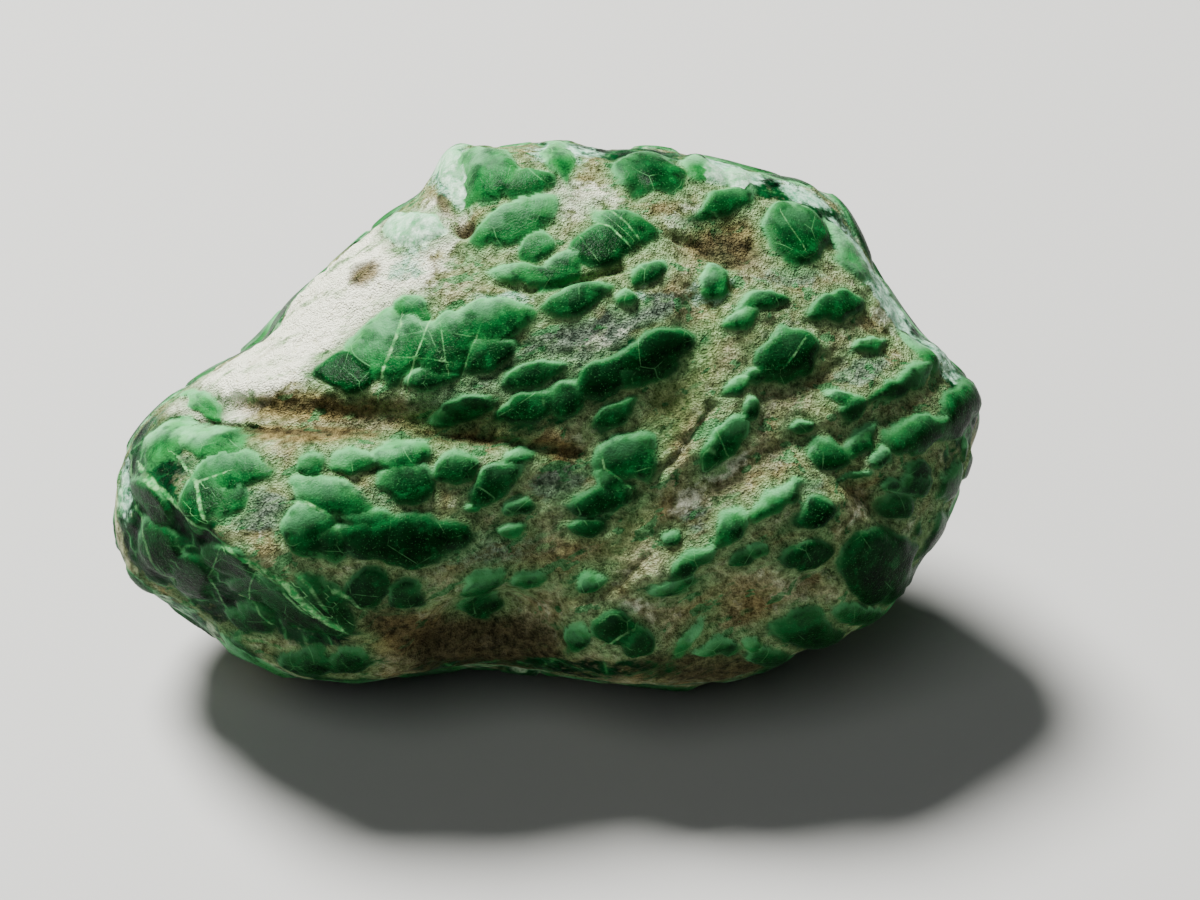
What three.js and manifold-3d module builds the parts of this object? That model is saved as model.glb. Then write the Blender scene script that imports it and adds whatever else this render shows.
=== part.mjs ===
// A tumbled maw sit sit stone: one pebble of pale, worn matrix in which harder green lumps stand proud.
//
// The stone is described in its face frame, in millimetres: u runs right and v up across its broad
// rough face, and w comes out of that face. The face leans back by FACE_LEAN when the stone rests.
// The exported frame is +Z up, with the origin at the bottom centre of the stone's box.

import * as THREE from "three";
import { mergeVertices } from "three/addons/utils/BufferGeometryUtils.js";
import Module from "manifold-3d";

// Driving dimensions
const FACE_LEAN = THREE.MathUtils.degToRad(40); // the face looks this far above the horizon
const FRONT_DEPTH = 7.6; // from the rim's plane out to the middle of the face
const BACK_DEPTH = 9.4; // from the rim's plane back to the middle of the back
const FRONT_SQUARENESS = 2.5; // superellipse power: 2 is round, more is flatter with a tighter rim
const BACK_SQUARENESS = 2.15;
const RIM_BAND = 3.2; // how far front to back the fine shape of the rim reaches
const VIEW_DISTANCE = 260; // places on the face are read from a viewpoint this far from the rim's plane
const REST_CUT = 0.75; // how much of the lowest swell is worn away to the flat spot that it rests on
const MESH_DETAIL = 20; // each edge of the starting icosahedron is split into this many steps, plus one
const FACE_CROWDING = 0.7; // the points of the face stand this much closer together than evenly spread ones
const RELIEF_BLUR = 0.3; // the relief is averaged over a ring of this radius, so that the mesh can carry it
const BLUR_SAMPLES = 6; // places on that ring
const WELD_DISTANCE = 1e-5; // points closer than this are one point

// The spread of the starting sphere's points, about the half sizes of the stone along u, v and w
const HALF_SIZES = new THREE.Vector3(16.3, 10.6, 8.5);

// How far the rim lies from the centre, every 5 degrees anticlockwise from +u
const RIM_STEP = 5;
const RIM_RADII = [
  16.5, 16.05, 14.9, 14.25, 13.85, 13.65, 13.75, 13.7, 13.3, 12.65, 12.15, 11.8,
  11.5, 11.2, 10.85, 10.45, 10.45, 10.55, 10.5, 10.3, 10.2, 10.25, 10.15, 9.75,
  9.45, 9.5, 9.6, 9.65, 9.8, 10.1, 10.45, 10.85, 11.15, 11.55, 12.6, 14.0,
  15.25, 16.25, 16.75, 17.05, 17.1, 16.7, 16.2, 15.75, 15.1, 14.4, 13.5, 12.5,
  11.5, 10.7, 10.2, 9.95, 9.8, 9.7, 9.7, 9.85, 10.2, 10.65, 11.1, 11.55,
  11.95, 12.35, 12.75, 13.2, 13.7, 14.3, 14.9, 15.1, 15.35, 15.9, 16.2, 16.3,
];
const SMOOTH_RIM_SPAN = 5; // steps to each side that the softened rim averages over

// Unevenness of the whole body: height, size along u, v and w, and where in the noise it starts along u
const UNEVENNESS = [
  [0.28, [5.2, 4.1, 4.4], 0],
  [0.1, [1.9, 1.7, 1.8], 40],
];

// Broad swells (rise above 0) and hollows (below 0) of the whole body: [u, v, w], [reach along u, v, w], rise
const FORMS = [
  [[-9.5, -4.2, 6], [6.5, 3.0, 6], 1.5], // the lower left lobe bulges forward
  [[-10.5, 3.5, 5], [5, 2.6, 6], -1.1], // the cream shoulder falls back above it
  [[-2.0, 9.0, 4], [1.9, 1.6, 4], 0.5], // the knob at the top
  [[-3.4, 9.4, 1.2], [1.0, 1.1, 2.6], 0.5], // its left shoulder
  [[2.5, 3.0, 8], [5, 3.5, 5], 0.5], // the middle of the face
  [[10.5, -4.5, 5], [4.5, 3.5, 6], 0.9], // the lower right lobe
  [[-2.0, -8.4, 6], [2.4, 1.5, 3.6], -2.1], // the hollow under the middle
  [[2.7, -8.3, 5], [2.0, 1.3, 3.5], 0.6], // the lobe that ends that hollow on the right
  [[6.8, -7.5, 6], [3.2, 1.3, 4], -0.5], // the brown hollow above the lower right edge
  [[7.0, 6.6, 6], [1.9, 1.2, 4], -0.75], // the pocket under the top lumps
  [[-11, -7.7, 3], [4.5, 2.2, 5], -0.9], // the polished slope at the lower left
  [[7, 5, -9], [7, 5, 5], -1.2], // a flat on the upper back
  [[-8, 3, -8], [6, 5, 4], -0.9], // a flat on the left of the back
  [[-2, -6, -8], [8, 4, 5], 0.9], // the heavy underside
  [[12, -3, -6], [4, 4, 4], -0.8], // a worn corner at the right
  [[1, 1, -9.5], [3.5, 2.5, 4], 0.5], // a low boss on the back
];

// Ridges (rise above 0) and valleys of the face: [u, v] of both ends, half width, rise
const RIDGES = [
  [[-15, -2.3], [-7.5, -8.0], 0.7, 0.5], // the edge where the lower left slope turns under
  [[4.3, -2.3], [7.6, 0.5], 0.7, 0.25], // the tan bank beside the slanting fissure
  [[1.5, -7.6], [4.3, -5.7], 0.7, 0.3],
  [[4.4, -6.3], [8.9, -3.2], 0.8, 0.35],
  [[9.3, -5.6], [11.2, -3.2], 0.7, 0.25],
  [[11.0, 0.2], [14.8, 2.2], 0.7, 0.35],
  [[12.4, -1.9], [16.0, 0.6], 0.8, 0.35],
  [[4.6, 0.6], [6.2, 4.2], 0.9, -0.4], // the smooth yellow-green channel
  [[-13.2, 0.15], [-2.5, -0.45], 0.75, -0.9], // the hollow wall above the long crack
  [[-3.25, 9.3], [-3.2, 7.4], 0.4, -0.5], // between the pale knob and the green one
  [[11.9, -2.6], [13.2, -4.0], 0.45, -0.4],
  [[8.6, 0.9], [11.0, 1.6], 0.5, -0.3],
  [[6.9, -2.6], [10.0, -1.0], 0.5, -0.25],
];

// Cracks: the points of each, half width, depth
const CRACKS = [
  [[[-14.3, -0.3], [-13.2, -0.45], [-11.4, -0.75], [-8.2, -0.6], [-5.8, -0.95],
    [-3.0, -1.0], [-0.6, -1.3], [1.4, -1.5]], 0.4, 0.45],
  [[[-14.3, -0.25], [-13.4, -0.42], [-12.2, -0.55], [-11.2, -0.7]], 0.35, 0.6],
  [[[3.4, -3.25], [4.4, -2.2], [5.1, -1.6], [6.0, -0.45], [6.5, 0.3]], 0.35, 0.25],
  [[[1.3, -7.1], [2.9, -6.4], [3.9, -5.4]], 0.35, 0.25],
  [[[-1.8, 5.0], [-0.8, 4.75], [0.2, 4.85], [1.5, 5.15], [3.0, 5.6]], 0.3, 0.2],
  [[[4.7, 6.9], [6.0, 6.35], [6.9, 5.7], [7.6, 5.8], [8.0, 6.6]], 0.35, 0.25],
];

// Pits: [u, v], radius, depth
const PITS = [
  [[-3.1, 7.3], 0.45, 0.5],
  [[3.5, 8.6], 0.4, 0.4],
  [[7.4, 4.9], 0.35, 0.3],
  [[-3.3, 6.05], 0.35, 0.3],
  [[0.9, 9.4], 0.35, 0.3],
  [[10.2, -6.6], 0.6, 0.4],
  [[-4.6, -8.9], 0.6, 0.4],
];

// Green lumps of the face: u, v, half length, half width, turn in degrees
const LUMPS = [
  [-13.55, 0.35, 0.65, 0.38, -45], [-14.6, -1.1, 0.85, 0.5, 65], [-13.1, -1.0, 1.1, 0.5, -12],
  [-11.9, -2.1, 1.2, 0.65, -5], [-12.95, -3.05, 1.15, 0.7, 80], [-11.75, -2.9, 0.9, 0.45, 60],
  [-15.05, -3.3, 0.95, 0.6, -50], [-14.75, -5.1, 1.1, 0.75, -50], [-12.1, -5.6, 0.9, 0.6, -35],
  [-13.4, -6.2, 0.9, 0.6, -60], [-11.1, -6.6, 0.85, 0.55, 10], [-9.45, -7.3, 1.6, 0.75, -25],
  [-11.4, -7.9, 0.85, 0.4, -10], [-8.3, -7.0, 1.3, 0.4, -42], [-6.8, -6.7, 0.95, 0.6, 10],
  [-5.1, -6.85, 0.6, 0.45, 0], [-12.0, -9.0, 1.2, 0.5, -20], [-9.1, -9.6, 1.1, 0.5, 0],
  [-7.4, -9.4, 0.6, 0.5, 0], [-8.85, -1.95, 0.55, 0.35, 15], [-7.2, -1.75, 0.75, 0.42, 10],
  [-5.5, -1.6, 0.9, 0.55, -5], [-5.35, -2.7, 0.9, 0.75, -30], [-3.55, -2.2, 0.8, 0.55, 20],
  [-1.95, -2.7, 1.2, 0.65, 38], [-1.1, -1.6, 0.5, 0.28, 15], [-8.2, -3.15, 1.5, 0.7, -18],
  [-9.0, -4.4, 0.95, 0.85, 0], [-8.1, -5.0, 0.75, 0.5, 0], [-5.4, -4.85, 2.2, 0.85, 4],
  [-6.6, -4.1, 1.1, 0.4, -12], [-0.65, 8.8, 0.95, 0.6, 10], [-2.2, 9.2, 1.0, 0.85, 0],
  [-3.5, 9.3, 0.7, 0.4, 85], [0.55, 9.8, 0.75, 0.45, -60], [-1.25, 7.3, 1.6, 0.62, 24],
  [-0.35, 6.4, 0.6, 0.5, 45], [-0.75, 5.35, 1.15, 0.34, -6], [0.9, 5.75, 1.3, 0.5, 38],
  [2.2, 6.6, 1.0, 0.75, 20], [3.05, 7.35, 1.05, 0.5, -22], [4.0, 9.2, 1.15, 0.65, -12],
  [6.2, 9.35, 0.9, 0.4, -15], [6.8, 8.05, 1.3, 0.5, 25], [9.55, 6.9, 1.25, 0.95, -30],
  [3.95, 5.5, 0.65, 0.42, 45], [1.15, 4.45, 1.2, 0.55, 22], [-2.2, 3.6, 1.6, 0.7, 5],
  [-3.6, 2.4, 0.95, 0.7, 20], [-2.0, 2.3, 0.95, 0.6, 35], [-5.4, 2.2, 1.1, 0.5, 65],
  [-7.4, 1.75, 1.2, 0.6, 15], [-4.2, 1.4, 0.95, 0.45, 10], [-5.2, 4.0, 0.65, 0.5, 25],
  [-3.1, 0.15, 1.15, 0.5, 12], [-0.45, 1.45, 1.0, 0.4, 25], [-0.8, 0.2, 1.1, 0.5, 28],
  [0.75, 0.5, 0.7, 0.6, 40], [2.1, 1.35, 1.1, 0.65, 38], [4.1, 2.35, 1.6, 0.75, 22],
  [2.7, -0.05, 0.85, 0.42, 35], [3.1, -1.7, 1.1, 0.8, 15], [2.05, -3.25, 1.2, 0.5, 8],
  [1.5, -4.15, 0.7, 0.35, 5], [-0.9, -3.65, 0.45, 0.3, 0], [-2.5, -6.5, 0.8, 0.42, 25],
  [-2.4, -7.4, 0.85, 0.5, 5], [-0.6, -6.3, 0.65, 0.28, 12], [1.8, -6.45, 0.55, 0.35, 20],
  [2.55, -8.2, 0.85, 0.6, -5], [3.5, -8.7, 0.55, 0.5, 20], [1.1, -8.5, 0.6, 0.35, 70],
  [6.6, -9.0, 0.65, 0.25, 0], [8.6, -9.35, 0.8, 0.4, -12], [10.2, -8.35, 1.2, 0.55, -8],
  [12.1, -7.6, 0.85, 0.35, 5], [12.75, -5.8, 1.55, 1.4, 0], [9.95, -5.45, 0.9, 0.62, 12],
  [10.2, -3.8, 0.8, 0.45, 20], [8.1, -5.2, 0.4, 0.28, 40], [7.05, -4.3, 0.75, 0.48, 55],
  [5.7, -5.55, 0.95, 0.42, 30], [5.0, -6.4, 0.85, 0.33, 5], [4.8, -4.6, 0.34, 0.3, 0],
  [6.85, -1.15, 1.15, 0.55, 48], [7.9, 0.15, 0.45, 0.33, 45], [8.65, -3.25, 1.05, 0.42, 30],
  [9.3, 2.25, 1.05, 0.88, 15], [8.3, 1.45, 0.45, 0.3, 20], [8.35, 4.35, 0.95, 0.38, 5],
  [7.5, 3.7, 0.6, 0.4, 30], [11.25, 4.15, 0.95, 0.48, 18], [11.35, 0.7, 0.45, 0.3, 0],
  [11.75, 0.15, 0.5, 0.42, 90], [9.85, -0.5, 0.4, 0.25, 20], [10.75, -1.55, 0.8, 0.55, -15],
  [12.1, -1.05, 0.75, 0.35, 35], [12.8, -1.6, 0.5, 0.32, 15], [13.5, 1.15, 1.35, 0.38, 38],
  [14.3, -0.7, 1.15, 0.6, 18], [15.75, 0.3, 1.1, 0.6, 75], [14.3, -2.1, 0.45, 0.35, 0],
  [14.2, -2.65, 0.55, 0.42, 0], [13.3, -2.8, 0.35, 0.3, 0], [13.6, -3.6, 0.5, 0.42, 30],
  [15.5, -2.6, 0.6, 0.3, 65], [15.1, -4.4, 1.0, 0.38, 55],
  [-5.0, 7.0, 0.9, 0.6, 0], [6.4, 5.2, 0.5, 0.5, 0], [5.8, 9.5, 0.5, 0.5, 0],
  [7.5, 9.0, 0.5, 0.4, 0], [11.7, 6.3, 1.2, 0.35, -55], [14.3, 2.4, 0.8, 0.3, -50],
  [5.5, -8.6, 0.8, 0.25, 55], [8.1, -8.8, 0.5, 0.25, -10], [12.5, 2.6, 0.6, 0.25, 15],
  [7.5, 1.0, 0.7, 0.25, 25], [-1.2, -4.65, 0.45, 0.3, 0], [3.7, 1.6, 1.3, 0.5, 10],
  [2.6, -2.6, 0.8, 0.4, -30], [-3.9, -0.15, 0.6, 0.4, 0], [-5.8, 2.6, 1.6, 1.1, 20],
  [-3.6, 2.9, 1.2, 0.9, 25],
];
const LEAF_POWER = 1.6; // slender lumps have pointed ends, as a superellipse of this power
const LEAF_SLENDERNESS = 1.4; // a lump counts as slender when it is this many times longer than wide
const LUMP_GROWTH = 1.2; // the lumps' feet reach this much beyond the half sizes above
const LUMP_RISE = 0.2; // of a lump of no width
const LUMP_RISE_PER_WIDTH = 0.2; // more for each millimetre of half width
const LUMP_SOFT_FROM = 0.6; // the flank starts and ends at these shares of the lump's grown half sizes
const LUMP_SOFT_TO = 1.2;
const LUMP_ROUNDING = 0.18; // share of its rise that a lump loses from its middle to its foot

// Lumps of the sides and back, which are worn nearly flush, spread by the golden angle
const BACK_LUMPS = 150;
const BACK_LUMP_LENGTH = [0.9, 2.0]; // shortest and longest half length
const BACK_LUMP_SLENDERNESS = [0.45, 0.8]; // half width as a share of half length
const BACK_LUMP_RISE = 0.2;
const BACK_LUMP_LEAN = [0.5, 0.8]; // how much their length may lean from u towards v and w
const BACK_LUMP_REACH = 2; // nothing of a lump lies further from its middle than this many half lengths
const GOLDEN_ANGLE = Math.PI * (3 - Math.sqrt(5));

// The face's own relief fades in, and the back lumps out, as the w part of the way out passes these shares
const FACE_FADE = [0.1, 0.4];

const clamp01 = (x) => Math.min(1, Math.max(0, x));

function smoothstep(from, to, x) {
  const t = clamp01((x - from) / (to - from));
  return t * t * (3 - 2 * t);
}

// A repeatable number from 0 to 1 for three whole numbers
function hash(i, j, k) {
  const s = Math.sin(i * 127.1 + j * 311.7 + k * 74.7) * 43758.5453;
  return s - Math.floor(s);
}

// Smooth noise from -1 to 1 with features about one unit across
function noise(x, y, z) {
  const [i, j, k] = [Math.floor(x), Math.floor(y), Math.floor(z)];
  const [a, b, c] = [smoothstep(0, 1, x - i), smoothstep(0, 1, y - j), smoothstep(0, 1, z - k)];
  const mix = THREE.MathUtils.lerp;
  const row = (dj, dk) => mix(hash(i, j + dj, k + dk), hash(i + 1, j + dj, k + dk), a);
  return 2 * mix(mix(row(0, 0), row(1, 0), b), mix(row(0, 1), row(1, 1), b), c) - 1;
}

// A smooth closed curve through a ring of equally spaced values, at a place counted in steps
function ringValue(ring, place) {
  const n = ring.length;
  const i = Math.floor(place);
  const t = place - i;
  const at = (k) => ring[(((i + k) % n) + n) % n];
  const [a, b, c, d] = [at(-1), at(0), at(1), at(2)];
  return b + 0.5 * t * (c - a + t * (2 * a - 5 * b + 4 * c - d + t * (3 * (b - c) + d - a)));
}

const SMOOTH_RADII = RIM_RADII.map((_, i) => {
  let sum = 0;
  for (let k = -SMOOTH_RIM_SPAN; k <= SMOOTH_RIM_SPAN; k += 1) sum += ringValue(RIM_RADII, i + k);
  return sum / (2 * SMOOTH_RIM_SPAN + 1);
});

// The point of the plain body that lies in a direction from its centre
function bodyPoint(direction) {
  const step = THREE.MathUtils.radToDeg(Math.atan2(direction.y, direction.x)) / RIM_STEP;
  const across = Math.hypot(direction.x, direction.y);
  const front = direction.z > 0;
  const depth = front ? FRONT_DEPTH : BACK_DEPTH;
  const power = front ? FRONT_SQUARENESS : BACK_SQUARENESS;
  const reach = (radius) => (
    ((across / radius) ** power + (Math.abs(direction.z) / depth) ** power) ** (-1 / power)
  );
  const soft = ringValue(SMOOTH_RADII, step);
  const w = reach(soft) * direction.z;
  const fine = Math.exp(-((w / RIM_BAND) ** 2));
  const radius = THREE.MathUtils.lerp(soft, ringValue(RIM_RADII, step), fine);
  return direction.clone().multiplyScalar(reach(radius));
}

// The way out of the body at a point, taken from the ellipsoid of its half sizes
function outward(point) {
  return point.clone().divide(HALF_SIZES).divide(HALF_SIZES).normalize();
}

// Where a point is seen across the face: [u, v]
function seenAt(point) {
  const closer = VIEW_DISTANCE / (VIEW_DISTANCE - point.z);
  return [point.x * closer, point.y * closer];
}

// The distance from a place on the face to the stretch between two others
function distanceToLine([u, v], [u0, v0], [u1, v1]) {
  const [du, dv] = [u1 - u0, v1 - v0];
  const t = clamp01(((u - u0) * du + (v - v0) * dv) / (du * du + dv * dv));
  return Math.hypot(u - u0 - t * du, v - v0 - t * dv);
}

// How far the swells, hollows and unevenness lift the body at a point
function formRise(point) {
  let rise = 0;
  for (const [height, [su, sv, sw], start] of UNEVENNESS) {
    rise += height * noise(point.x / su + start, point.y / sv, point.z / sw);
  }
  for (const [[u, v, w], [ru, rv, rw], height] of FORMS) {
    const far = ((point.x - u) / ru) ** 2 + ((point.y - v) / rv) ** 2 + ((point.z - w) / rw) ** 2;
    rise += height * Math.exp(-far);
  }
  return rise;
}

const bell = (distance, width) => Math.exp(-((distance / width) ** 2));

function ridgeRise(place) {
  let rise = 0;
  for (const [from, to, width, height] of RIDGES) {
    rise += height * bell(distanceToLine(place, from, to), width);
  }
  return rise;
}

function crackDepth(place) {
  let depth = 0;
  for (const [points, width, deep] of CRACKS) {
    const stretches = points.slice(1).map((end, i) => distanceToLine(place, points[i], end));
    depth = Math.max(depth, deep * bell(Math.min(...stretches), width));
  }
  for (const [[u, v], radius, deep] of PITS) {
    depth = Math.max(depth, deep * bell(Math.hypot(place[0] - u, place[1] - v), radius));
  }
  return depth;
}

// How far out in a lump a place lies, from 0 in its middle to 1 at its foot
function lumpShare(along, across, slenderness) {
  const power = slenderness > LEAF_SLENDERNESS ? LEAF_POWER : 2;
  return (Math.abs(along) ** power + Math.abs(across) ** power) ** (1 / power);
}

// A lump's rise at a place that lies at this share of its half sizes from its middle
function domeRise(share, height) {
  return height * (1 - smoothstep(LUMP_SOFT_FROM, LUMP_SOFT_TO, share)) * (1 - LUMP_ROUNDING * share * share);
}

function faceLumpRise([placeU, placeV]) {
  let rise = 0;
  for (const [u, v, length, width, degrees] of LUMPS) {
    const turn = THREE.MathUtils.degToRad(degrees);
    const [du, dv] = [placeU - u, placeV - v];
    const along = (du * Math.cos(turn) + dv * Math.sin(turn)) / length;
    const across = (dv * Math.cos(turn) - du * Math.sin(turn)) / width;
    const share = lumpShare(along, across, length / width) / LUMP_GROWTH;
    rise = Math.max(rise, domeRise(share, LUMP_RISE + LUMP_RISE_PER_WIDTH * width * LUMP_GROWTH));
  }
  return rise;
}

// The back lumps: each has a middle, a long and a cross direction, and half sizes
function makeBackLumps() {
  const lumps = [];
  for (let i = 0; i < BACK_LUMPS; i += 1) {
    const height = 1 - (2 * (i + 0.5)) / BACK_LUMPS;
    const around = Math.sqrt(1 - height * height);
    const direction = new THREE.Vector3(
      around * Math.cos(i * GOLDEN_ANGLE), around * Math.sin(i * GOLDEN_ANGLE), height,
    ).multiply(HALF_SIZES).normalize();
    const middle = bodyPoint(direction);
    const out = outward(middle);
    if (out.z > FACE_FADE[1]) continue;
    const [leanV, leanW] = BACK_LUMP_LEAN;
    const along = new THREE.Vector3(1, leanV * (hash(i, 1, 0) - 0.5), leanW * (hash(i, 2, 0) - 0.5))
      .projectOnPlane(out).normalize();
    const across = new THREE.Vector3().crossVectors(out, along);
    const length = THREE.MathUtils.lerp(...BACK_LUMP_LENGTH, hash(i, 3, 0));
    const width = length * THREE.MathUtils.lerp(...BACK_LUMP_SLENDERNESS, hash(i, 4, 0));
    lumps.push({ middle, along, across, length, width });
  }
  return lumps;
}

const backLumps = makeBackLumps();

function backLumpRise(point) {
  let rise = 0;
  for (const { middle, along, across, length, width } of backLumps) {
    const offset = point.clone().sub(middle);
    if (offset.length() > BACK_LUMP_REACH * length) continue;
    const share = lumpShare(offset.dot(along) / length, offset.dot(across) / width, length / width);
    rise = Math.max(rise, domeRise(share, BACK_LUMP_RISE));
  }
  return rise;
}

// The lumps, ridges and cracks at a point of the formed body
function reliefAt(point) {
  const place = seenAt(point);
  const onFace = smoothstep(...FACE_FADE, outward(point).z);
  return onFace * (ridgeRise(place) + faceLumpRise(place) - crackDepth(place))
    + (1 - onFace) * backLumpRise(point);
}

// The finished surface in a direction from the centre, in the face frame
function surfacePoint(direction) {
  const body = bodyPoint(direction);
  const out = outward(body);
  const formed = body.clone().addScaledVector(out, formRise(body));
  const aside = new THREE.Vector3(out.y, -out.x, 0.3); // never runs the same way as out
  const side = aside.cross(out).setLength(RELIEF_BLUR);
  let relief = reliefAt(formed);
  for (let i = 0; i < BLUR_SAMPLES; i += 1) {
    const offset = side.clone().applyAxisAngle(out, (2 * Math.PI * i) / BLUR_SAMPLES);
    relief += reliefAt(formed.clone().add(offset));
  }
  return formed.addScaledVector(out, relief / (BLUR_SAMPLES + 1));
}

// Draws the points of a sphere together towards +w, as a map that keeps small shapes
function crowd(direction) {
  const fromFront = Math.acos(THREE.MathUtils.clamp(direction.z, -1, 1));
  const moved = 2 * Math.atan(FACE_CROWDING * Math.tan(fromFront / 2));
  const across = Math.hypot(direction.x, direction.y) || 1;
  const scale = Math.sin(moved) / across;
  return direction.set(direction.x * scale, direction.y * scale, Math.cos(moved));
}

// A closed mesh of the whole surface, with the face leaning back by FACE_LEAN
function surfaceGeometry() {
  const sphere = new THREE.IcosahedronGeometry(1, MESH_DETAIL);
  sphere.deleteAttribute("normal");
  sphere.deleteAttribute("uv");
  const geometry = mergeVertices(sphere, WELD_DISTANCE);
  const positions = geometry.getAttribute("position");
  const vertex = new THREE.Vector3();
  for (let i = 0; i < positions.count; i += 1) {
    crowd(vertex.fromBufferAttribute(positions, i)).multiply(HALF_SIZES).normalize();
    const { x, y, z } = surfacePoint(vertex);
    positions.setXYZ(i, x, y, z);
  }
  return geometry.rotateX(Math.PI / 2 - FACE_LEAN);
}

const wasm = await Module();
wasm.setup();

function solidFrom(geometry) {
  const bare = geometry.clone();
  bare.deleteAttribute("normal");
  bare.deleteAttribute("uv");
  const merged = mergeVertices(bare, WELD_DISTANCE);
  return new wasm.Manifold(new wasm.Mesh({
    numProp: 3,
    vertProperties: new Float32Array(merged.getAttribute("position").array),
    triVerts: new Uint32Array(merged.index.array),
  }));
}

function geometryFrom(solid) {
  const { vertProperties, triVerts } = solid.getMesh();
  const geometry = new THREE.BufferGeometry();
  geometry.setAttribute("position", new THREE.BufferAttribute(vertProperties, 3));
  geometry.setIndex(new THREE.BufferAttribute(triVerts, 1));
  geometry.computeVertexNormals();
  return geometry;
}

// Cuts the flat spot at the bottom, and puts the origin at the bottom centre of the box
function restOnFlatSpot(geometry) {
  geometry.computeBoundingBox();
  const floor = geometry.boundingBox.min.z + REST_CUT;
  const size = 4 * HALF_SIZES.x;
  const below = new THREE.BoxGeometry(size, size, size).translate(0, 0, floor - size / 2);
  const cut = geometryFrom(solidFrom(geometry).subtract(solidFrom(below)));
  cut.computeBoundingBox();
  const middle = cut.boundingBox.getCenter(new THREE.Vector3());
  return cut.translate(-middle.x, -middle.y, -floor);
}

const stone = new THREE.Mesh(
  restOnFlatSpot(surfaceGeometry()),
  new THREE.MeshStandardMaterial({ color: 0x4f7a52, roughness: 0.55, metalness: 0 }),
);
stone.name = "stone";

const part = new THREE.Group();
part.add(stone);

export default part;
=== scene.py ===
import math

import bpy
import numpy as np
from mathutils import Matrix, Vector


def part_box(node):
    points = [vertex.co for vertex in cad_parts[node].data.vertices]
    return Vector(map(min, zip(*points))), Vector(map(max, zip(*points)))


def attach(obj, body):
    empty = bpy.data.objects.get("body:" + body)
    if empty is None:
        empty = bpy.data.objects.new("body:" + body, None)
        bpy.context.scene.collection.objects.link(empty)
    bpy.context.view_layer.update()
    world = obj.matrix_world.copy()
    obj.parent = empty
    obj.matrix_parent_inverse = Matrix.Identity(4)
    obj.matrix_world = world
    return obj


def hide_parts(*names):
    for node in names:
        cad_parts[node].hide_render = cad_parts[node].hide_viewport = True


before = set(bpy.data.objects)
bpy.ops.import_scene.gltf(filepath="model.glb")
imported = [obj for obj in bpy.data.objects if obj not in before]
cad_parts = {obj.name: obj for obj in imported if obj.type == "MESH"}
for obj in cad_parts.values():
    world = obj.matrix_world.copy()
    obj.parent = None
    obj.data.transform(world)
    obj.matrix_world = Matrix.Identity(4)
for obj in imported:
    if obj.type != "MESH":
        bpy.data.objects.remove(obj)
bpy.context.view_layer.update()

MM = 0.001

# The stone's face frame, in millimetres: u right and v up across the broad rough face, w out of it
FACE_LEAN = math.radians(40)
FRONT_DEPTH = 7.6  # from the rim's plane out to the middle of the face
BACK_DEPTH = 9.4  # from the rim's plane back to the middle of the back
FRONT_SQUARENESS = 2.5  # superellipse power: 2 is round, more is flatter with a tighter rim
BACK_SQUARENESS = 2.15
RIM_BAND = 3.2  # how far front to back the fine shape of the rim reaches
VIEW_DISTANCE = 260.0  # places on the face are read from a viewpoint this far from the rim's plane
GRID_STEPS = 126  # squares along each side of the six grids that make the surface
FACE_CROWDING = 0.62  # the points of the face stand closer together, the smaller this is
HALF_SIZES = np.array([16.3, 10.6, 8.5])  # about half the stone along u, v and w

# How far the rim lies from the centre, every 5 degrees anticlockwise from +u
RIM_STEP = math.radians(5)
RIM_RADII = np.array([
    16.5, 16.05, 14.9, 14.25, 13.85, 13.65, 13.75, 13.7, 13.3, 12.65, 12.15, 11.8,
    11.5, 11.2, 10.85, 10.45, 10.45, 10.55, 10.5, 10.3, 10.2, 10.25, 10.15, 9.75,
    9.45, 9.5, 9.6, 9.65, 9.8, 10.1, 10.45, 10.85, 11.15, 11.55, 12.6, 14.0,
    15.25, 16.25, 16.75, 17.05, 17.1, 16.7, 16.2, 15.75, 15.1, 14.4, 13.5, 12.5,
    11.5, 10.7, 10.2, 9.95, 9.8, 9.7, 9.7, 9.85, 10.2, 10.65, 11.1, 11.55,
    11.95, 12.35, 12.75, 13.2, 13.7, 14.3, 14.9, 15.1, 15.35, 15.9, 16.2, 16.3,
])
SMOOTH_RIM_SPAN = 5  # steps to each side that the softened rim averages over

# Broad swells and hollows of the body: (u, v, w), (reach along u, v, w), rise
FORMS = [
    ((-9.5, -4.2, 6), (6.5, 3.0, 6), 1.5),
    ((-10.5, 3.5, 5), (5, 2.6, 6), -1.1),
    ((-2.0, 9.0, 4), (1.9, 1.6, 4), 0.5),
    ((-3.4, 9.4, 1.2), (1.0, 1.1, 2.6), 0.5),
    ((2.5, 3.0, 8), (5, 3.5, 5), 0.5),
    ((10.5, -4.5, 5), (4.5, 3.5, 6), 0.9),
    ((-2.0, -8.4, 6), (2.4, 1.5, 3.6), -2.1),
    ((2.7, -8.3, 5), (2.0, 1.3, 3.5), 0.6),
    ((6.8, -7.5, 6), (3.2, 1.3, 4), -0.5),
    ((7.0, 6.6, 6), (1.9, 1.2, 4), -0.75),
    ((-11, -7.7, 3), (4.5, 2.2, 5), -0.9),
    ((7, 5, -9), (7, 5, 5), -1.2),
    ((-8, 3, -8), (6, 5, 4), -0.9),
    ((-2, -6, -8), (8, 4, 5), 0.9),
    ((12, -3, -6), (4, 4, 4), -0.8),
    ((1, 1, -9.5), (3.5, 2.5, 4), 0.5),
]

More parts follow.
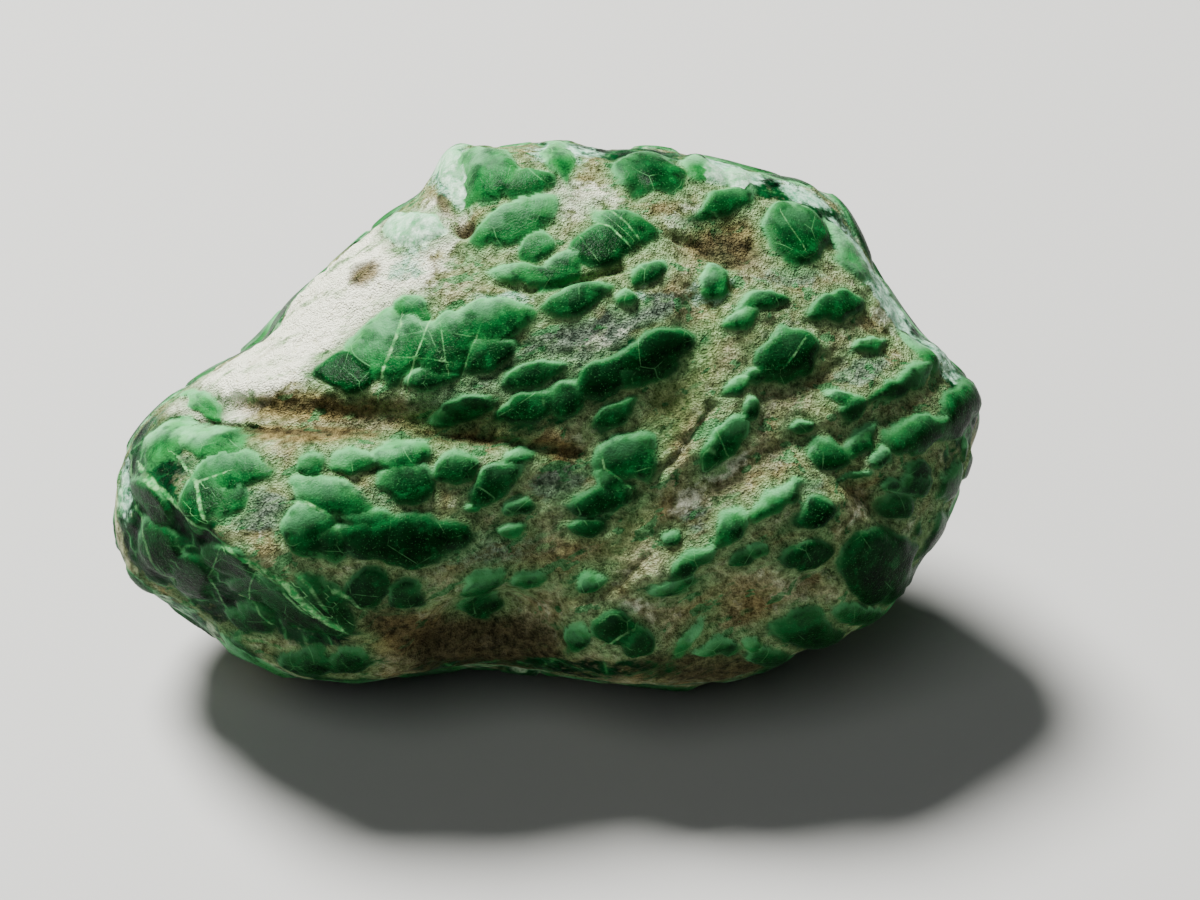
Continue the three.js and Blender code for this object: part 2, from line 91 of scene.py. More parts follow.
# Ridges and valleys of the face: both ends, half width, rise
RIDGES = [
    ((-15, -2.3), (-7.5, -8.0), 0.7, 0.5),
    ((4.3, -2.3), (7.6, 0.5), 0.7, 0.25),
    ((1.5, -7.6), (4.3, -5.7), 0.7, 0.3),
    ((4.4, -6.3), (8.9, -3.2), 0.8, 0.35),
    ((9.3, -5.6), (11.2, -3.2), 0.7, 0.25),
    ((11.0, 0.2), (14.8, 2.2), 0.7, 0.35),
    ((12.4, -1.9), (16.0, 0.6), 0.8, 0.35),
    ((4.6, 0.6), (6.2, 4.2), 0.9, -0.4),
    ((-13.2, 0.15), (-2.5, -0.45), 0.75, -0.9),
    ((-3.25, 9.3), (-3.2, 7.4), 0.4, -0.5),
    ((11.9, -2.6), (13.2, -4.0), 0.45, -0.4),
    ((8.6, 0.9), (11.0, 1.6), 0.5, -0.3),
    ((6.9, -2.6), (10.0, -1.0), 0.5, -0.25),
]

# Cracks: points, half width, depth
CRACKS = [
    ([(-14.3, -0.3), (-13.2, -0.45), (-11.4, -0.75), (-8.2, -0.6), (-5.8, -0.95),
      (-3.0, -1.0), (-0.6, -1.3), (1.4, -1.5)], 0.26, 0.35),
    ([(-14.3, -0.25), (-13.4, -0.42), (-12.2, -0.55), (-11.2, -0.7)], 0.2, 0.5),
    ([(3.4, -3.25), (4.4, -2.2), (5.1, -1.6), (6.0, -0.45), (6.5, 0.3)], 0.16, 0.22),
    ([(1.3, -7.1), (2.9, -6.4), (3.9, -5.4)], 0.16, 0.2),
    ([(-1.8, 5.0), (-0.8, 4.75), (0.2, 4.85), (1.5, 5.15), (3.0, 5.6)], 0.14, 0.2),
    ([(4.7, 6.9), (6.0, 6.35), (6.9, 5.7), (7.6, 5.8), (8.0, 6.6)], 0.16, 0.2),
    ([(7.2, -1.9), (8.0, -1.5), (8.7, -1.3)], 0.14, 0.15),
]

# Pits: middle, radius, depth
PITS = [
    ((-3.1, 7.3), 0.4, 0.5),
    ((3.5, 8.6), 0.35, 0.4),
    ((7.4, 4.9), 0.3, 0.3),
    ((-3.3, 6.05), 0.25, 0.3),
    ((0.9, 9.4), 0.25, 0.3),
    ((10.2, -6.6), 0.6, 0.4),
    ((-4.6, -8.9), 0.6, 0.4),
]

# Green lumps of the face: u, v, half length, half width, turn in degrees, paleness from 0 to 1
LUMPS = [
    (-13.55, 0.35, 0.65, 0.38, -45, 0.8), (-14.6, -1.1, 0.85, 0.5, 65, 0.85),
    (-13.1, -1.0, 1.1, 0.5, -12, 0.86), (-11.9, -2.1, 1.2, 0.65, -5, 0.4),
    (-12.95, -3.05, 1.15, 0.7, 80, 0.25), (-11.75, -2.9, 0.9, 0.45, 60, 0.35),
    (-15.05, -3.3, 0.95, 0.6, -50, 0.1), (-14.75, -5.1, 1.1, 0.75, -50, 0.05),
    (-12.1, -5.6, 0.9, 0.6, -35, 0.08), (-13.4, -6.2, 0.9, 0.6, -60, 0.0),
    (-11.1, -6.6, 0.85, 0.55, 10, 0.03), (-9.45, -7.3, 1.6, 0.75, -25, 0.0),
    (-11.4, -7.9, 0.85, 0.4, -10, 0.1), (-8.3, -7.0, 1.3, 0.4, -42, 0.12),
    (-6.8, -6.7, 0.95, 0.6, 10, 0.05), (-5.1, -6.85, 0.6, 0.45, 0, 0.08),
    (-12.0, -9.0, 1.2, 0.5, -20, 0.05), (-9.1, -9.6, 1.1, 0.5, 0, 0.05),
    (-7.4, -9.4, 0.6, 0.5, 0, 0.1), (-8.85, -1.95, 0.55, 0.35, 15, 0.3),
    (-7.2, -1.75, 0.75, 0.42, 10, 0.45), (-5.5, -1.6, 0.9, 0.55, -5, 0.5),
    (-5.35, -2.7, 0.9, 0.75, -30, 0.2), (-3.55, -2.2, 0.8, 0.55, 20, 0.25),
    (-1.95, -2.7, 1.2, 0.65, 38, 0.2), (-1.1, -1.6, 0.5, 0.28, 15, 0.45),
    (-8.2, -3.15, 1.5, 0.7, -18, 0.4), (-9.0, -4.4, 0.95, 0.85, 0, 0.5),
    (-8.1, -5.0, 0.75, 0.5, 0, 0.4), (-5.4, -4.85, 2.2, 0.85, 4, 0.05),
    (-6.6, -4.1, 1.1, 0.4, -12, 0.25), (-0.65, 8.8, 0.95, 0.6, 10, 0.3),
    (-2.2, 9.2, 1.0, 0.85, 0, 0.8), (-3.5, 9.3, 0.8, 0.5, 85, 1.2),
    (0.55, 9.8, 0.75, 0.45, -60, 0.85), (-1.25, 7.3, 1.6, 0.62, 24, 0.5),
    (-0.35, 6.4, 0.6, 0.5, 45, 0.4), (-0.75, 5.35, 1.15, 0.34, -6, 0.55),
    (0.9, 5.75, 1.3, 0.5, 38, 0.45), (2.2, 6.6, 1.0, 0.75, 20, 0.12),
    (3.05, 7.35, 1.05, 0.5, -22, 0.3), (4.0, 9.2, 1.15, 0.65, -12, 0.2),
    (6.2, 9.35, 0.9, 0.4, -15, 1.0), (6.8, 8.05, 1.3, 0.5, 25, 0.25),
    (9.55, 6.9, 1.25, 0.95, -30, 0.3), (3.95, 5.5, 0.65, 0.42, 45, 0.3),
    (1.15, 4.45, 1.2, 0.55, 22, 0.3), (-2.2, 3.6, 1.6, 0.7, 5, 0.55),
    (-3.6, 2.4, 0.95, 0.7, 20, 0.15), (-2.0, 2.3, 0.95, 0.6, 35, 0.15),
    (-5.4, 2.2, 1.1, 0.5, 65, 0.3), (-7.4, 1.75, 1.2, 0.6, 15, 0.0),
    (-4.2, 1.4, 0.95, 0.45, 10, 0.2), (-5.2, 4.0, 0.65, 0.5, 25, 0.45),
    (-3.1, 0.15, 1.15, 0.5, 12, 0.15), (-0.45, 1.45, 1.0, 0.4, 25, 0.2),
    (-0.8, 0.2, 1.1, 0.5, 28, 0.12), (0.75, 0.5, 0.7, 0.6, 40, 0.2),
    (2.1, 1.35, 1.1, 0.65, 38, 0.08), (4.1, 2.35, 1.6, 0.75, 22, 0.08),
    (2.7, -0.05, 0.85, 0.42, 35, 0.2), (3.1, -1.7, 1.1, 0.8, 15, 0.4),
    (2.05, -3.25, 1.2, 0.5, 8, 0.08), (1.5, -4.15, 0.7, 0.35, 5, 0.1),
    (-0.9, -3.65, 0.45, 0.3, 0, 0.3), (-2.5, -6.5, 0.8, 0.42, 25, 0.35),
    (-2.4, -7.4, 0.85, 0.5, 5, 0.1), (-0.6, -6.3, 0.65, 0.28, 12, 0.35),
    (1.8, -6.45, 0.55, 0.35, 20, 0.5), (2.55, -8.2, 0.85, 0.6, -5, 0.1),
    (3.5, -8.7, 0.55, 0.5, 20, 0.15), (1.1, -8.5, 0.6, 0.35, 70, 0.35),
    (6.6, -9.0, 0.65, 0.25, 0, 0.4), (8.6, -9.35, 0.8, 0.4, -12, 0.15),
    (10.2, -8.35, 1.2, 0.55, -8, 0.1), (12.1, -7.6, 0.85, 0.35, 5, 0.2),
    (12.7, -5.75, 1.35, 1.15, 15, 0.05), (9.95, -5.45, 0.9, 0.62, 12, 0.03),
    (10.2, -3.8, 0.8, 0.45, 20, 0.05), (8.1, -5.2, 0.4, 0.28, 40, 0.45),
    (7.05, -4.3, 0.75, 0.48, 55, 0.3), (5.7, -5.55, 0.95, 0.42, 30, 0.3),
    (5.0, -6.4, 0.85, 0.33, 5, 0.4), (4.8, -4.6, 0.34, 0.3, 0, 0.4),
    (6.85, -1.15, 1.15, 0.55, 48, 0.35), (7.9, 0.15, 0.45, 0.33, 45, 0.4),
    (8.65, -3.25, 1.05, 0.42, 30, 0.55), (9.3, 2.25, 1.05, 0.88, 15, 0.2),
    (8.3, 1.45, 0.45, 0.3, 20, 0.35), (8.35, 4.35, 0.95, 0.38, 5, 0.3),
    (7.5, 3.7, 0.6, 0.4, 30, 0.65), (11.25, 4.15, 0.95, 0.48, 18, 0.2),
    (11.35, 0.7, 0.45, 0.3, 0, 0.5), (11.75, 0.15, 0.5, 0.42, 90, 0.2),
    (9.85, -0.5, 0.4, 0.25, 20, 0.35), (10.75, -1.55, 0.8, 0.55, -15, 0.15),
    (12.1, -1.05, 0.75, 0.35, 35, 0.4), (12.8, -1.6, 0.5, 0.32, 15, 0.45),
    (13.5, 1.15, 1.35, 0.38, 38, 0.25), (14.3, -0.7, 1.15, 0.6, 18, 0.2),
    (15.75, 0.3, 1.1, 0.6, 75, 0.1), (14.3, -2.1, 0.45, 0.35, 0, 0.2),
    (14.2, -2.65, 0.55, 0.42, 0, 0.3), (13.3, -2.8, 0.35, 0.3, 0, 0.45),
    (13.6, -3.6, 0.5, 0.42, 30, 0.1), (15.5, -2.6, 0.6, 0.3, 65, 0.25),
    (15.1, -4.4, 1.0, 0.38, 55, 0.05),
    (-5.0, 7.0, 0.9, 0.6, 0, 1.1), (6.4, 5.2, 0.5, 0.5, 0, 0.8), (5.8, 9.5, 0.5, 0.5, 0, 0.7),
    (7.5, 9.0, 0.5, 0.4, 0, 1.05), (11.7, 6.3, 1.2, 0.35, -55, 0.9), (14.3, 2.4, 0.8, 0.3, -50, 0.65),
    (16.1, -1.4, 0.6, 0.15, 80, 0.4), (5.5, -8.6, 0.8, 0.25, 55, 0.6), (8.1, -8.8, 0.5, 0.25, -10, 0.7),
    (12.5, 2.6, 0.6, 0.25, 15, 0.6), (3.0, 4.4, 0.4, 0.3, 0, 0.6), (12.0, -2.35, 0.5, 0.2, 20, 0.35),
    (7.6, -5.5, 0.3, 0.25, 0, 0.15), (7.5, 1.0, 0.7, 0.25, 25, 0.6), (-2.95, -3.75, 0.3, 0.2, 0, 0.5),
    (-1.2, -4.65, 0.45, 0.3, 0, 0.5), (3.7, 1.6, 1.3, 0.5, 10, 0.2), (2.6, -2.6, 0.8, 0.4, -30, 0.35),
    (-3.9, -0.15, 0.6, 0.4, 0, 0.45), (-5.8, 2.6, 1.6, 1.1, 20, 0.55), (-3.6, 2.9, 1.2, 0.9, 25, 0.45),
]
LUMP_GROWTH = 1.2  # the lumps' feet reach this much beyond the half sizes above
LEAF_POWER = 1.6  # slender lumps have pointed ends, as a superellipse of this power
LEAF_SLENDERNESS = 1.4  # a lump counts as slender when it is this many times longer than wide
LUMP_RISE = 0.14  # of a lump of no width
LUMP_RISE_PER_WIDTH = 0.14  # more for each millimetre of half width
LUMP_SHOULDER = (0.72, 1.12)  # the flank starts and ends at these shares of the lump's grown half sizes
LUMP_DOME = 0.18  # share of its rise that a lump loses from its middle to its foot
LUMP_REACH_IN_LENGTHS = 2.2  # nothing of a lump lies further from its middle than this many half lengths
LUMP_REACH_MARGIN = 1.2  # and this much more
LIGHT_SIDE_SLANT = 0.3  # how far the lit side of a lump, which gets painted light, leans from straight up towards the left
FAR_FROM_LUMPS = -3.0  # the depth inside a lump that counts where none is near
PALENESS_BETWEEN_LUMPS = 0.3

# Lumps of the sides and back, which are worn nearly flush, spread by the golden angle
BACK_LUMPS = 150
BACK_LUMP_LENGTH = (0.9, 2.0)  # shortest and longest half length
BACK_LUMP_SLENDERNESS = (0.45, 0.8)  # half width as a share of half length
BACK_LUMP_RISE = 0.2
BACK_LUMP_REACH_IN_LENGTHS = 2
BACK_LUMP_LEAN = (0.5, 0.8)  # how much their length may lean from u towards v and w
BACK_PALENESS = 0.75  # of the palest
BACK_PALENESS_POWER = 1.5  # more makes more of them dark
GOLDEN_ANGLE = math.pi * (3 - math.sqrt(5))

# The face's relief fades in, and the back lumps out, as the w part of the way out passes these shares
FACE_FADE = (0.1, 0.4)

# Unevenness of the whole body: rise, sizes along u, v and w, and shift
SWELLS = (0.28, np.array([5.2, 4.1, 4.4]), np.array([0, 0, 0]))
DIMPLES = (0.1, np.array([1.9, 1.7, 1.8]), np.array([40, 0, 0]))

# Layers of grain: strength, size and shift
FACE_WAVER_ALONG = [(0.28, 1.4, 0), (0.15, 0.6, 17)]
FACE_WAVER_UP = [(0.22, 1.4, 31), (0.15, 0.6, 23)]
FACE_RAGGED_EDGE = [(0.07, 0.3, 3)]
BACK_WAVER_ALONG = [(0.4, 1.5, 0), (0.2, 0.6, 17), (0.08, 0.3, 3)]
BACK_WAVER_ACROSS = [(0.35, 1.3, 31), (0.14, 0.5, 23)]
BED_ROUGHNESS = [(0.09, 0.9, 0), (0.07, 0.4, 9), (0.035, 0.2, 5)]
SURFACE_ROUGHNESS = [(0.015, 1.3, 0)]
BED_FADE = (-0.15, 0.1)  # the roughness of the bed ends between these distances inside a lump
DARKEST_CRACK = 0.5  # a crack this deep gets the darkest painted shade

# Zones of colour on the face: u, v, half length, half width, turn in degrees, strength
RUST_ZONES = [
    (-9.5, -0.8, 4.0, 0.36, -2, 1.0), (-5.0, -1.15, 2.0, 0.3, -4, 0.8),
    (-9.0, 0.3, 4.0, 0.7, 0, 0.9), (-3.5, -0.6, 3.0, 0.7, -5, 1.0), (0.3, -1.4, 1.6, 0.6, -5, 0.9),
    (6.8, 6.7, 1.7, 1.1, 0, 0.9), (11.5, -2.8, 1.0, 0.6, 30, 0.7), (-5.5, -8.5, 2.2, 0.9, 0, 0.9),
    (7.0, -7.3, 2.6, 1.2, 10, 0.55), (0.5, -5.4, 2.5, 0.9, 20, 0.5),
    (-3.0, 7.3, 0.8, 0.6, 0, 0.9), (-3.8, 8.3, 0.5, 0.8, 0, 0.9),
    (3.4, -3.6, 1.5, 0.6, 40, 0.5), (-6.9, 5.4, 0.8, 0.45, 35, 0.9), (1.8, 5.2, 2.0, 0.5, 15, 0.5),
]
# Umber zones, mostly painted shade: the hollow under the bottom overhang, the pits, the pocket, the
# notch by the knob and the wall under the ledge, with some real brown
UMBER_AND_SHADE_ZONES = [
    (-7.1, 5.5, 0.7, 0.45, 35, 0.6), (-9.5, -0.75, 3.2, 0.14, -2, 0.6),
    (-2.4, -9.0, 3.8, 1.5, 0, 1.0), (-5.8, -8.0, 1.6, 0.9, -15, 0.7), (6.6, -9.7, 4.0, 0.8, 0, 0.8),
    (-8.0, 0.35, 4.5, 0.4, 0, 0.5), (7.0, 6.3, 1.6, 0.8, -10, 0.8),
    (-3.05, 7.35, 0.5, 0.4, 0, 0.8), (-3.9, 8.2, 0.3, 0.5, 0, 0.7), (12.3, -3.4, 0.8, 0.5, -40, 0.5),
    (-4.4, -6.0, 1.2, 0.4, 0, 0.4),
]
# Pale mint zones: partly pale green stone, partly a painted highlight along the polished rims at the top
# right and the left end
MINT_AND_SHEEN_ZONES = [
    (-3.1, 9.3, 1.6, 1.0, 0, 1.0), (-5.2, 5.7, 1.2, 0.7, 40, 0.45), (7.2, 9.3, 1.4, 0.35, -18, 0.8),
    (9.9, 8.55, 1.3, 0.4, -28, 0.85),
    (12.6, 5.3, 2.8, 0.45, -56, 0.9), (-15.4, 0.4, 0.4, 1.6, -30, 0.55), (-16.3, -2.4, 0.4, 2.0, 5, 0.7),
    (0.6, 10.0, 1.6, 0.5, 0, 0.6), (-10.5, 5.0, 2.2, 0.5, 35, 0.4), (15.0, 2.0, 1.3, 0.4, -45, 0.6),
    (3.9, 4.9, 0.8, 0.5, 40, 0.3), (6.4, 4.9, 1.0, 0.7, 0, 0.5), (-1.6, 4.4, 1.6, 0.5, 0, 0.4),
]
CREAM_AND_LIGHT_ZONES = [
    (-8.5, 4.2, 5.5, 2.6, 32, 1.0), (-12.2, 0.8, 2.6, 1.1, 25, 1.0), (-4.2, 7.2, 1.6, 1.2, 30, 0.8),
    (-10.0, -1.1, 2.4, 0.2, -3, 0.2), (0.8, 8.4, 2.6, 1.1, -10, 0.55), (5.6, 7.6, 1.2, 0.6, 20, 0.5),
    # the zone at (6.9, -2.1) is painted light: it lifts a spot that lies in the shade of a ridge
    (-15.2, -1.8, 0.7, 2.0, 0, 0.6), (5.6, -3.2, 1.2, 0.5, 40, 0.5), (6.9, -2.1, 1.4, 0.6, 30, 0.5),
    (3.2, -7.4, 1.6, 0.4, 20, 0.4),
    (9.2, 3.2, 1.6, 0.4, 15, 0.4), (13.9, -4.3, 1.1, 0.6, -50, 0.35), (11.9, -4.0, 0.9, 0.5, 40, 0.3),
    (13.6, 3.2, 1.6, 0.4, -45, 0.5), (2.4, 2.9, 1.6, 0.4, 20, 0.35),
]
GREY_ZONES = [
    (0.6, 2.2, 3.6, 1.2, 25, 1.0), (-3.4, 1.0, 2.2, 0.8, 15, 0.8), (-6.5, -3.2, 1.6, 0.6, 0, 0.6),
    (3.4, 3.8, 2.2, 0.7, 20, 1.0), (12.2, 1.7, 1.2, 0.6, 30, 0.8), (10.2, -3.0, 0.9, 0.5, 20, 0.7),
    (5.8, -4.0, 0.8, 0.6, 30, 0.6), (-10.9, -3.7, 1.4, 0.9, -10, 1.0), (0.6, -2.6, 1.3, 0.8, 20, 0.9),
    (-13.9, -1.9, 0.9, 0.5, 0, 0.8), (-2.6, -5.2, 3.0, 1.0, 5, 0.6), (0.4, 3.0, 1.5, 0.5, 15, 0.8),
    (9.5, 5.3, 1.6, 0.5, 0, 0.6), (-12.3, 2.2, 1.6, 0.8, 35, 0.4),
]
LIME_ZONES = [
    (5.2, 0.9, 3.8, 1.0, 62, 1.0), (2.0, -6.0, 1.8, 0.8, 30, 0.6), (3.2, -4.6, 1.8, 0.7, 45, 0.7),
    (8.0, 2.9, 1.0, 0.6, 20, 0.5), (6.6, 5.2, 0.9, 0.6, 0, 0.8), (5.6, -8.8, 1.4, 0.5, 30, 0.7),
    (10.6, 0.2, 1.4, 0.5, 30, 0.5), (-0.2, -2.0, 1.0, 0.4, 10, 0.4),
]

# Where the stone between the lumps is itself dark green and polished, in the same terms
JADE_ZONES = [
    (-13.2, -5.6, 3.2, 1.7, -55, 1.0), (-9.8, -7.4, 3.0, 1.2, -25, 1.0), (-10.0, -9.6, 4.5, 0.6, 0, 0.6),
    (-15.4, -3.6, 2.0, 4.2, 0, 1.0), (2.5, 10.2, 4.0, 0.5, -5, 0.8), (7.5, 9.2, 3.0, 0.6, -20, 0.9),
    (11.2, 7.2, 3.0, 0.7, -50, 0.9), (14.2, 3.6, 2.6, 0.8, -50, 0.9), (16.0, 0.5, 0.8, 2.2, 5, 1.0),
    (15.9, -3.0, 0.5, 2.0, 15, 0.7), (14.4, -0.3, 1.6, 0.7, 15, 0.6), (13.6, -6.9, 1.4, 0.9, -40, 0.6),
    (10.5, -8.7, 2.5, 0.6, -15, 0.8), (0.0, -9.8, 6.0, 0.5, 0, 0.7), (1.5, 0.8, 4.2, 0.9, 28, 0.6),
    (-5.5, 2.2, 2.4, 1.0, 10, 0.8), (-2.0, 2.6, 1.8, 1.2, 0, 0.6), (3.9, 2.4, 1.9, 1.1, 20, 0.6),
    (-8.6, -3.7, 1.6, 1.5, 0, 0.7), (-12.3, -2.2, 1.5, 0.9, 20, 0.6), (-6.4, -2.0, 1.8, 0.6, -5, 0.5),
]

ZONES = {
    "rust": RUST_ZONES,
    "cream": CREAM_AND_LIGHT_ZONES,
    "grey": GREY_ZONES,
    "lime": LIME_ZONES,
    "jade": JADE_ZONES,
    "umber_and_shade": UMBER_AND_SHADE_ZONES,
    "mint_and_sheen": MINT_AND_SHEEN_ZONES,
}
ZONE_FADE = (0.45, 1.35)  # a zone ends between these shares of its half sizes

# Pale healed veins, and a pale band along the left end of the rim that is a painted highlight: points,
# half width and strength from 0 to 1
VEINS_AND_RIM_HIGHLIGHT = [
    ([(-15.4, -2.0), (-14.4, -2.9), (-13.7, -3.6)], 0.06, 0.7),
    ([(-13.7, -3.6), (-13.0, -4.15), (-12.4, -4.7), (-11.5, -5.3)], 0.03, 0.5),
    ([(-11.5, -5.3), (-10.2, -6.0), (-9.0, -6.8), (-7.6, -7.9)], 0.08, 1.0),
    ([(-11.2, -5.6), (-10.0, -6.35), (-8.9, -7.2)], 0.02, 0.5),
    ([(-9.6, -5.9), (-8.9, -6.3), (-8.1, -7.1)], 0.02, 0.5),
    ([(-12.4, -5.0), (-12.9, -6.2), (-12.4, -7.4)], 0.01, 0.4),
    ([(-11.0, -6.0), (-11.4, -7.0), (-10.6, -8.0)], 0.01, 0.4),
    ([(-6.4, 0.8), (-5.6, 3.4)], 0.03, 0.7),
    ([(-5.3, 0.9), (-4.5, 3.5)], 0.01, 0.6),
    ([(-4.0, 3.4), (-3.6, 1.8)], 0.005, 0.4),
    ([(-5.9, 2.15), (-3.6, 2.0)], 0.0, 0.25),
    ([(-3.1, 1.4), (-2.4, 3.2)], 0.005, 0.4),
    ([(1.6, 7.5), (2.6, 7.1), (3.3, 6.5)], 0.015, 0.6),
    ([(2.5, 7.8), (3.2, 7.3), (3.7, 6.7)], 0.01, 0.5),
    ([(1.3, 6.9), (2.0, 5.9)], 0.0, 0.3),
    ([(2.1, -1.3), (2.3, -2.1), (3.4, -2.9)], 0.02, 0.7),
    ([(2.3, -8.85), (3.5, -8.25)], 0.02, 0.5),
    ([(9.2, 1.8), (10.0, 2.7)], 0.01, 0.5),
    ([(-14.2, -1.6), (-13.3, -2.6), (-12.8, -3.8)], 0.03, 0.7),
    ([(-13.3, -2.6), (-12.2, -2.3)], 0.01, 0.5),
    ([(-8.0, -6.6), (-7.4, -6.9), (-7.0, -7.4)], 0.03, 0.6),
    ([(-9.8, -3.55), (-9.0, -3.4), (-8.3, -3.75)], 0.03, 0.7),
    ([(-12.2, -8.4), (-11.0, -8.7), (-10.2, -9.0)], 0.03, 0.6),
    ([(-15.9, -1.2), (-15.7, -3.4), (-14.9, -5.6), (-13.6, -7.4)], 0.02, 0.3),
    # a painted highlight along the polished left end of the rim, drawn as a vein
    ([(-14.9, 0.9), (-15.9, -0.3), (-16.4, -1.8), (-16.5, -3.6)], 0.15, 0.6),
    ([(6.4, -0.4), (7.0, -1.5)], 0.005, 0.4),
    ([(8.9, 7.6), (9.9, 6.2)], 0.0, 0.3),
]
VEIN_SOFTNESS = 0.022  # added to the half width of each vein
VEIN_FADE = (0.2, 0.5)  # its strength ends between these distances from its edge
VEIN_BEND_ALONG = [(0.16, 1.6, 0)]  # layers of grain, as above
VEIN_BEND_UP = [(0.16, 1.6, 13)]

# Colours of the bed, each where its grain is dark and where it is light
TAN = ((0.14, 0.135, 0.065), (0.58, 0.57, 0.33))
OLIVE = ((0.065, 0.08, 0.032), (0.34, 0.39, 0.18))
OCHRE = ((0.07, 0.055, 0.02), (0.38, 0.31, 0.14))
PALE_CRUMBS = ((0.2, 0.21, 0.12), (0.72, 0.75, 0.5))
GREY = ((0.025, 0.045, 0.03), (0.2, 0.27, 0.2))
CREAM = ((0.7, 0.74, 0.44), (0.99, 1.0, 0.8))
GREEN_CREAM = ((0.42, 0.58, 0.3), (0.84, 0.98, 0.66))
SOILED_CREAM = ((0.2, 0.19, 0.09), (0.6, 0.6, 0.36))
RUST = ((0.04, 0.03, 0.01), (0.33, 0.25, 0.09))
LIME = ((0.06, 0.13, 0.03), (0.32, 0.42, 0.16))
SEEPING_GREEN = ((0.015, 0.09, 0.026), (0.22, 0.44, 0.17))
DRIFTING_GREEN = ((0.015, 0.09, 0.026), (0.2, 0.4, 0.15))
GREEN_CHIPS = ((0.006, 0.09, 0.02), (0.1, 0.33, 0.12))
# umber mixed with painted shade, for the hollows and the underside
UMBER_AND_SHADE = ((0.01, 0.01, 0.005), (0.1, 0.085, 0.04))
# pale mint, also a painted highlight on the polished rims
MINT_AND_SHEEN = ((0.06, 0.3, 0.15), (0.5, 0.74, 0.58))
DARK_SPECK = (0.016, 0.026, 0.016)
# painted shade in the cracks, darker the deeper the crack
CRACK_SHADE = (0.025, 0.018, 0.008)

# Colours of the dark polished jade
# near black: the jade's own dark green, darkened further as painted shade for the downward-facing lower
# left
JADE_DARK_AND_SHADE = ((0.0, 0.003, 0.001), (0.0, 0.018, 0.004))
JADE_LEAF = (0.002, 0.06, 0.012)
JADE_BLOCK_EDGE = (0.006, 0.12, 0.026)
JADE_SEAM = (0.05, 0.24, 0.07)
JADE_SPOT = ((0.03, 0.08, 0.03), (0.24, 0.36, 0.18))

# Colours of the lumps, each in the darkest lump and in the palest
LUMP_DEEP = ((0.0, 0.015, 0.002), (0.002, 0.08, 0.014))
# the rind: paler at every lump's edge, and paler still on the lit side as painted light
LUMP_RIND = ((0.001, 0.045, 0.008), (0.06, 0.34, 0.08))
LUMP_DARK_CLOUD = ((0.0, 0.005, 0.001), (0.0, 0.028, 0.005))
LUMP_GLOW = ((0.002, 0.08, 0.015), (0.02, 0.26, 0.06))
# painted sheen on the lit side of the lumps
LUMP_LIT_SHEEN = ((0.04, 0.28, 0.09), (0.22, 0.52, 0.27))

# More colours of the lumps: milky parts where the grain is dark and light, edges, fractures and specks
LUMP_MILKY = ((0.2, 0.42, 0.26), (0.6, 0.78, 0.62))
# a thin light edge, made stronger on the lit side as a painted highlight
LUMP_EDGE = (0.1, 0.37, 0.14)
FRACTURE = (0.12, 0.4, 0.14)
BRIGHT_SPECK = (0.05, 0.24, 0.07)

# Colours of the healed veins, where the grain is dark and where it is light
VEIN = ((0.03, 0.25, 0.06), (0.22, 0.52, 0.2))

# Colours of the worn sides and back
WORN_DARK = ((0.001, 0.02, 0.006), (0.004, 0.075, 0.022))
WORN_PALE = ((0.02, 0.14, 0.05), (0.15, 0.34, 0.16))
WORN_MILKY = (0.4, 0.52, 0.34)

# The grain and finish of the stone, in millimetres
BLOCK_SIZE = 1.9  # of the blocks that fractures and seams part
STREAK_SIZES = (1.5, 0.55, 0.55)
STREAK_TURN = (0, math.radians(-28), 0)
REFRACTION = 1.35
SPECULAR_LEVEL = 0.05
CRUMB_DEPTH = 0.32  # of the bump that stands for the finest crumbs
POLISHED_CRUMBS = 0.1  # share of that bump on the polished parts
DULL_ROUGHNESS = (0.62, 0.85)
GLOSSY_ROUGHNESS = (0.26, 0.42)

# The studio: places and sizes in metres, powers in watts
FLOOR_SIZE = 1.2
FLOOR_COLOUR = (0.4, 0.4, 0.39)
FLOOR_ROUGHNESS = 0.8
LIGHT_AIM = (0, 0, 0.01)
KEY_LIGHT = ((-0.13, 0.15, 0.34), 0.15, 6.9, (1.0, 0.99, 0.96))
FILL_LIGHT = ((-0.1, -0.24, 0.36), 0.3, 0.45, (0.97, 1.0, 0.98))
SKY_COLOUR = (0.9, 0.95, 1.0, 1)
SKY_STRENGTH = 0.035

# The photograph, 1200 pixels wide: where the stone's centre lies in it, and its scale
PHOTO_WIDTH, PHOTO_HEIGHT = 1200, 900
STONE_PIXEL = (546, 415)
PIXELS_PER_MM = 26.0
SENSOR_WIDTH = 36.0
NEAREST_SEEN = 0.01  # metres


def smoothstep(low, high, x):
    t = np.clip((x - low) / (high - low), 0, 1)
    return t * t * (3 - 2 * t)


def lattice(i, j, k):
    """A repeatable number from 0 to 1 for whole numbers."""
    s = np.sin(i * 127.1 + j * 311.7 + k * 74.7) * 43758.5453
    return s - np.floor(s)


def noise(x, y, z):
    """Smooth noise from -1 to 1 with features about one unit across."""
    i, j, k = np.floor(x), np.floor(y), np.floor(z)
    a, b, c = smoothstep(0, 1, x - i), smoothstep(0, 1, y - j), smoothstep(0, 1, z - k)

    def row(dj, dk):
        near = lattice(i, j + dj, k + dk)
        return near + a * (lattice(i + 1, j + dj, k + dk) - near)

    low = row(0, 0) + b * (row(1, 0) - row(0, 0))
    high = row(0, 1) + b * (row(1, 1) - row(0, 1))
    return 2 * (low + c * (high - low)) - 1


def grain(points, size):
    return noise(*(points / size).T)


def layered(points, layers):
    return sum(strength * grain(points + shift, size) for strength, size, shift in layers)


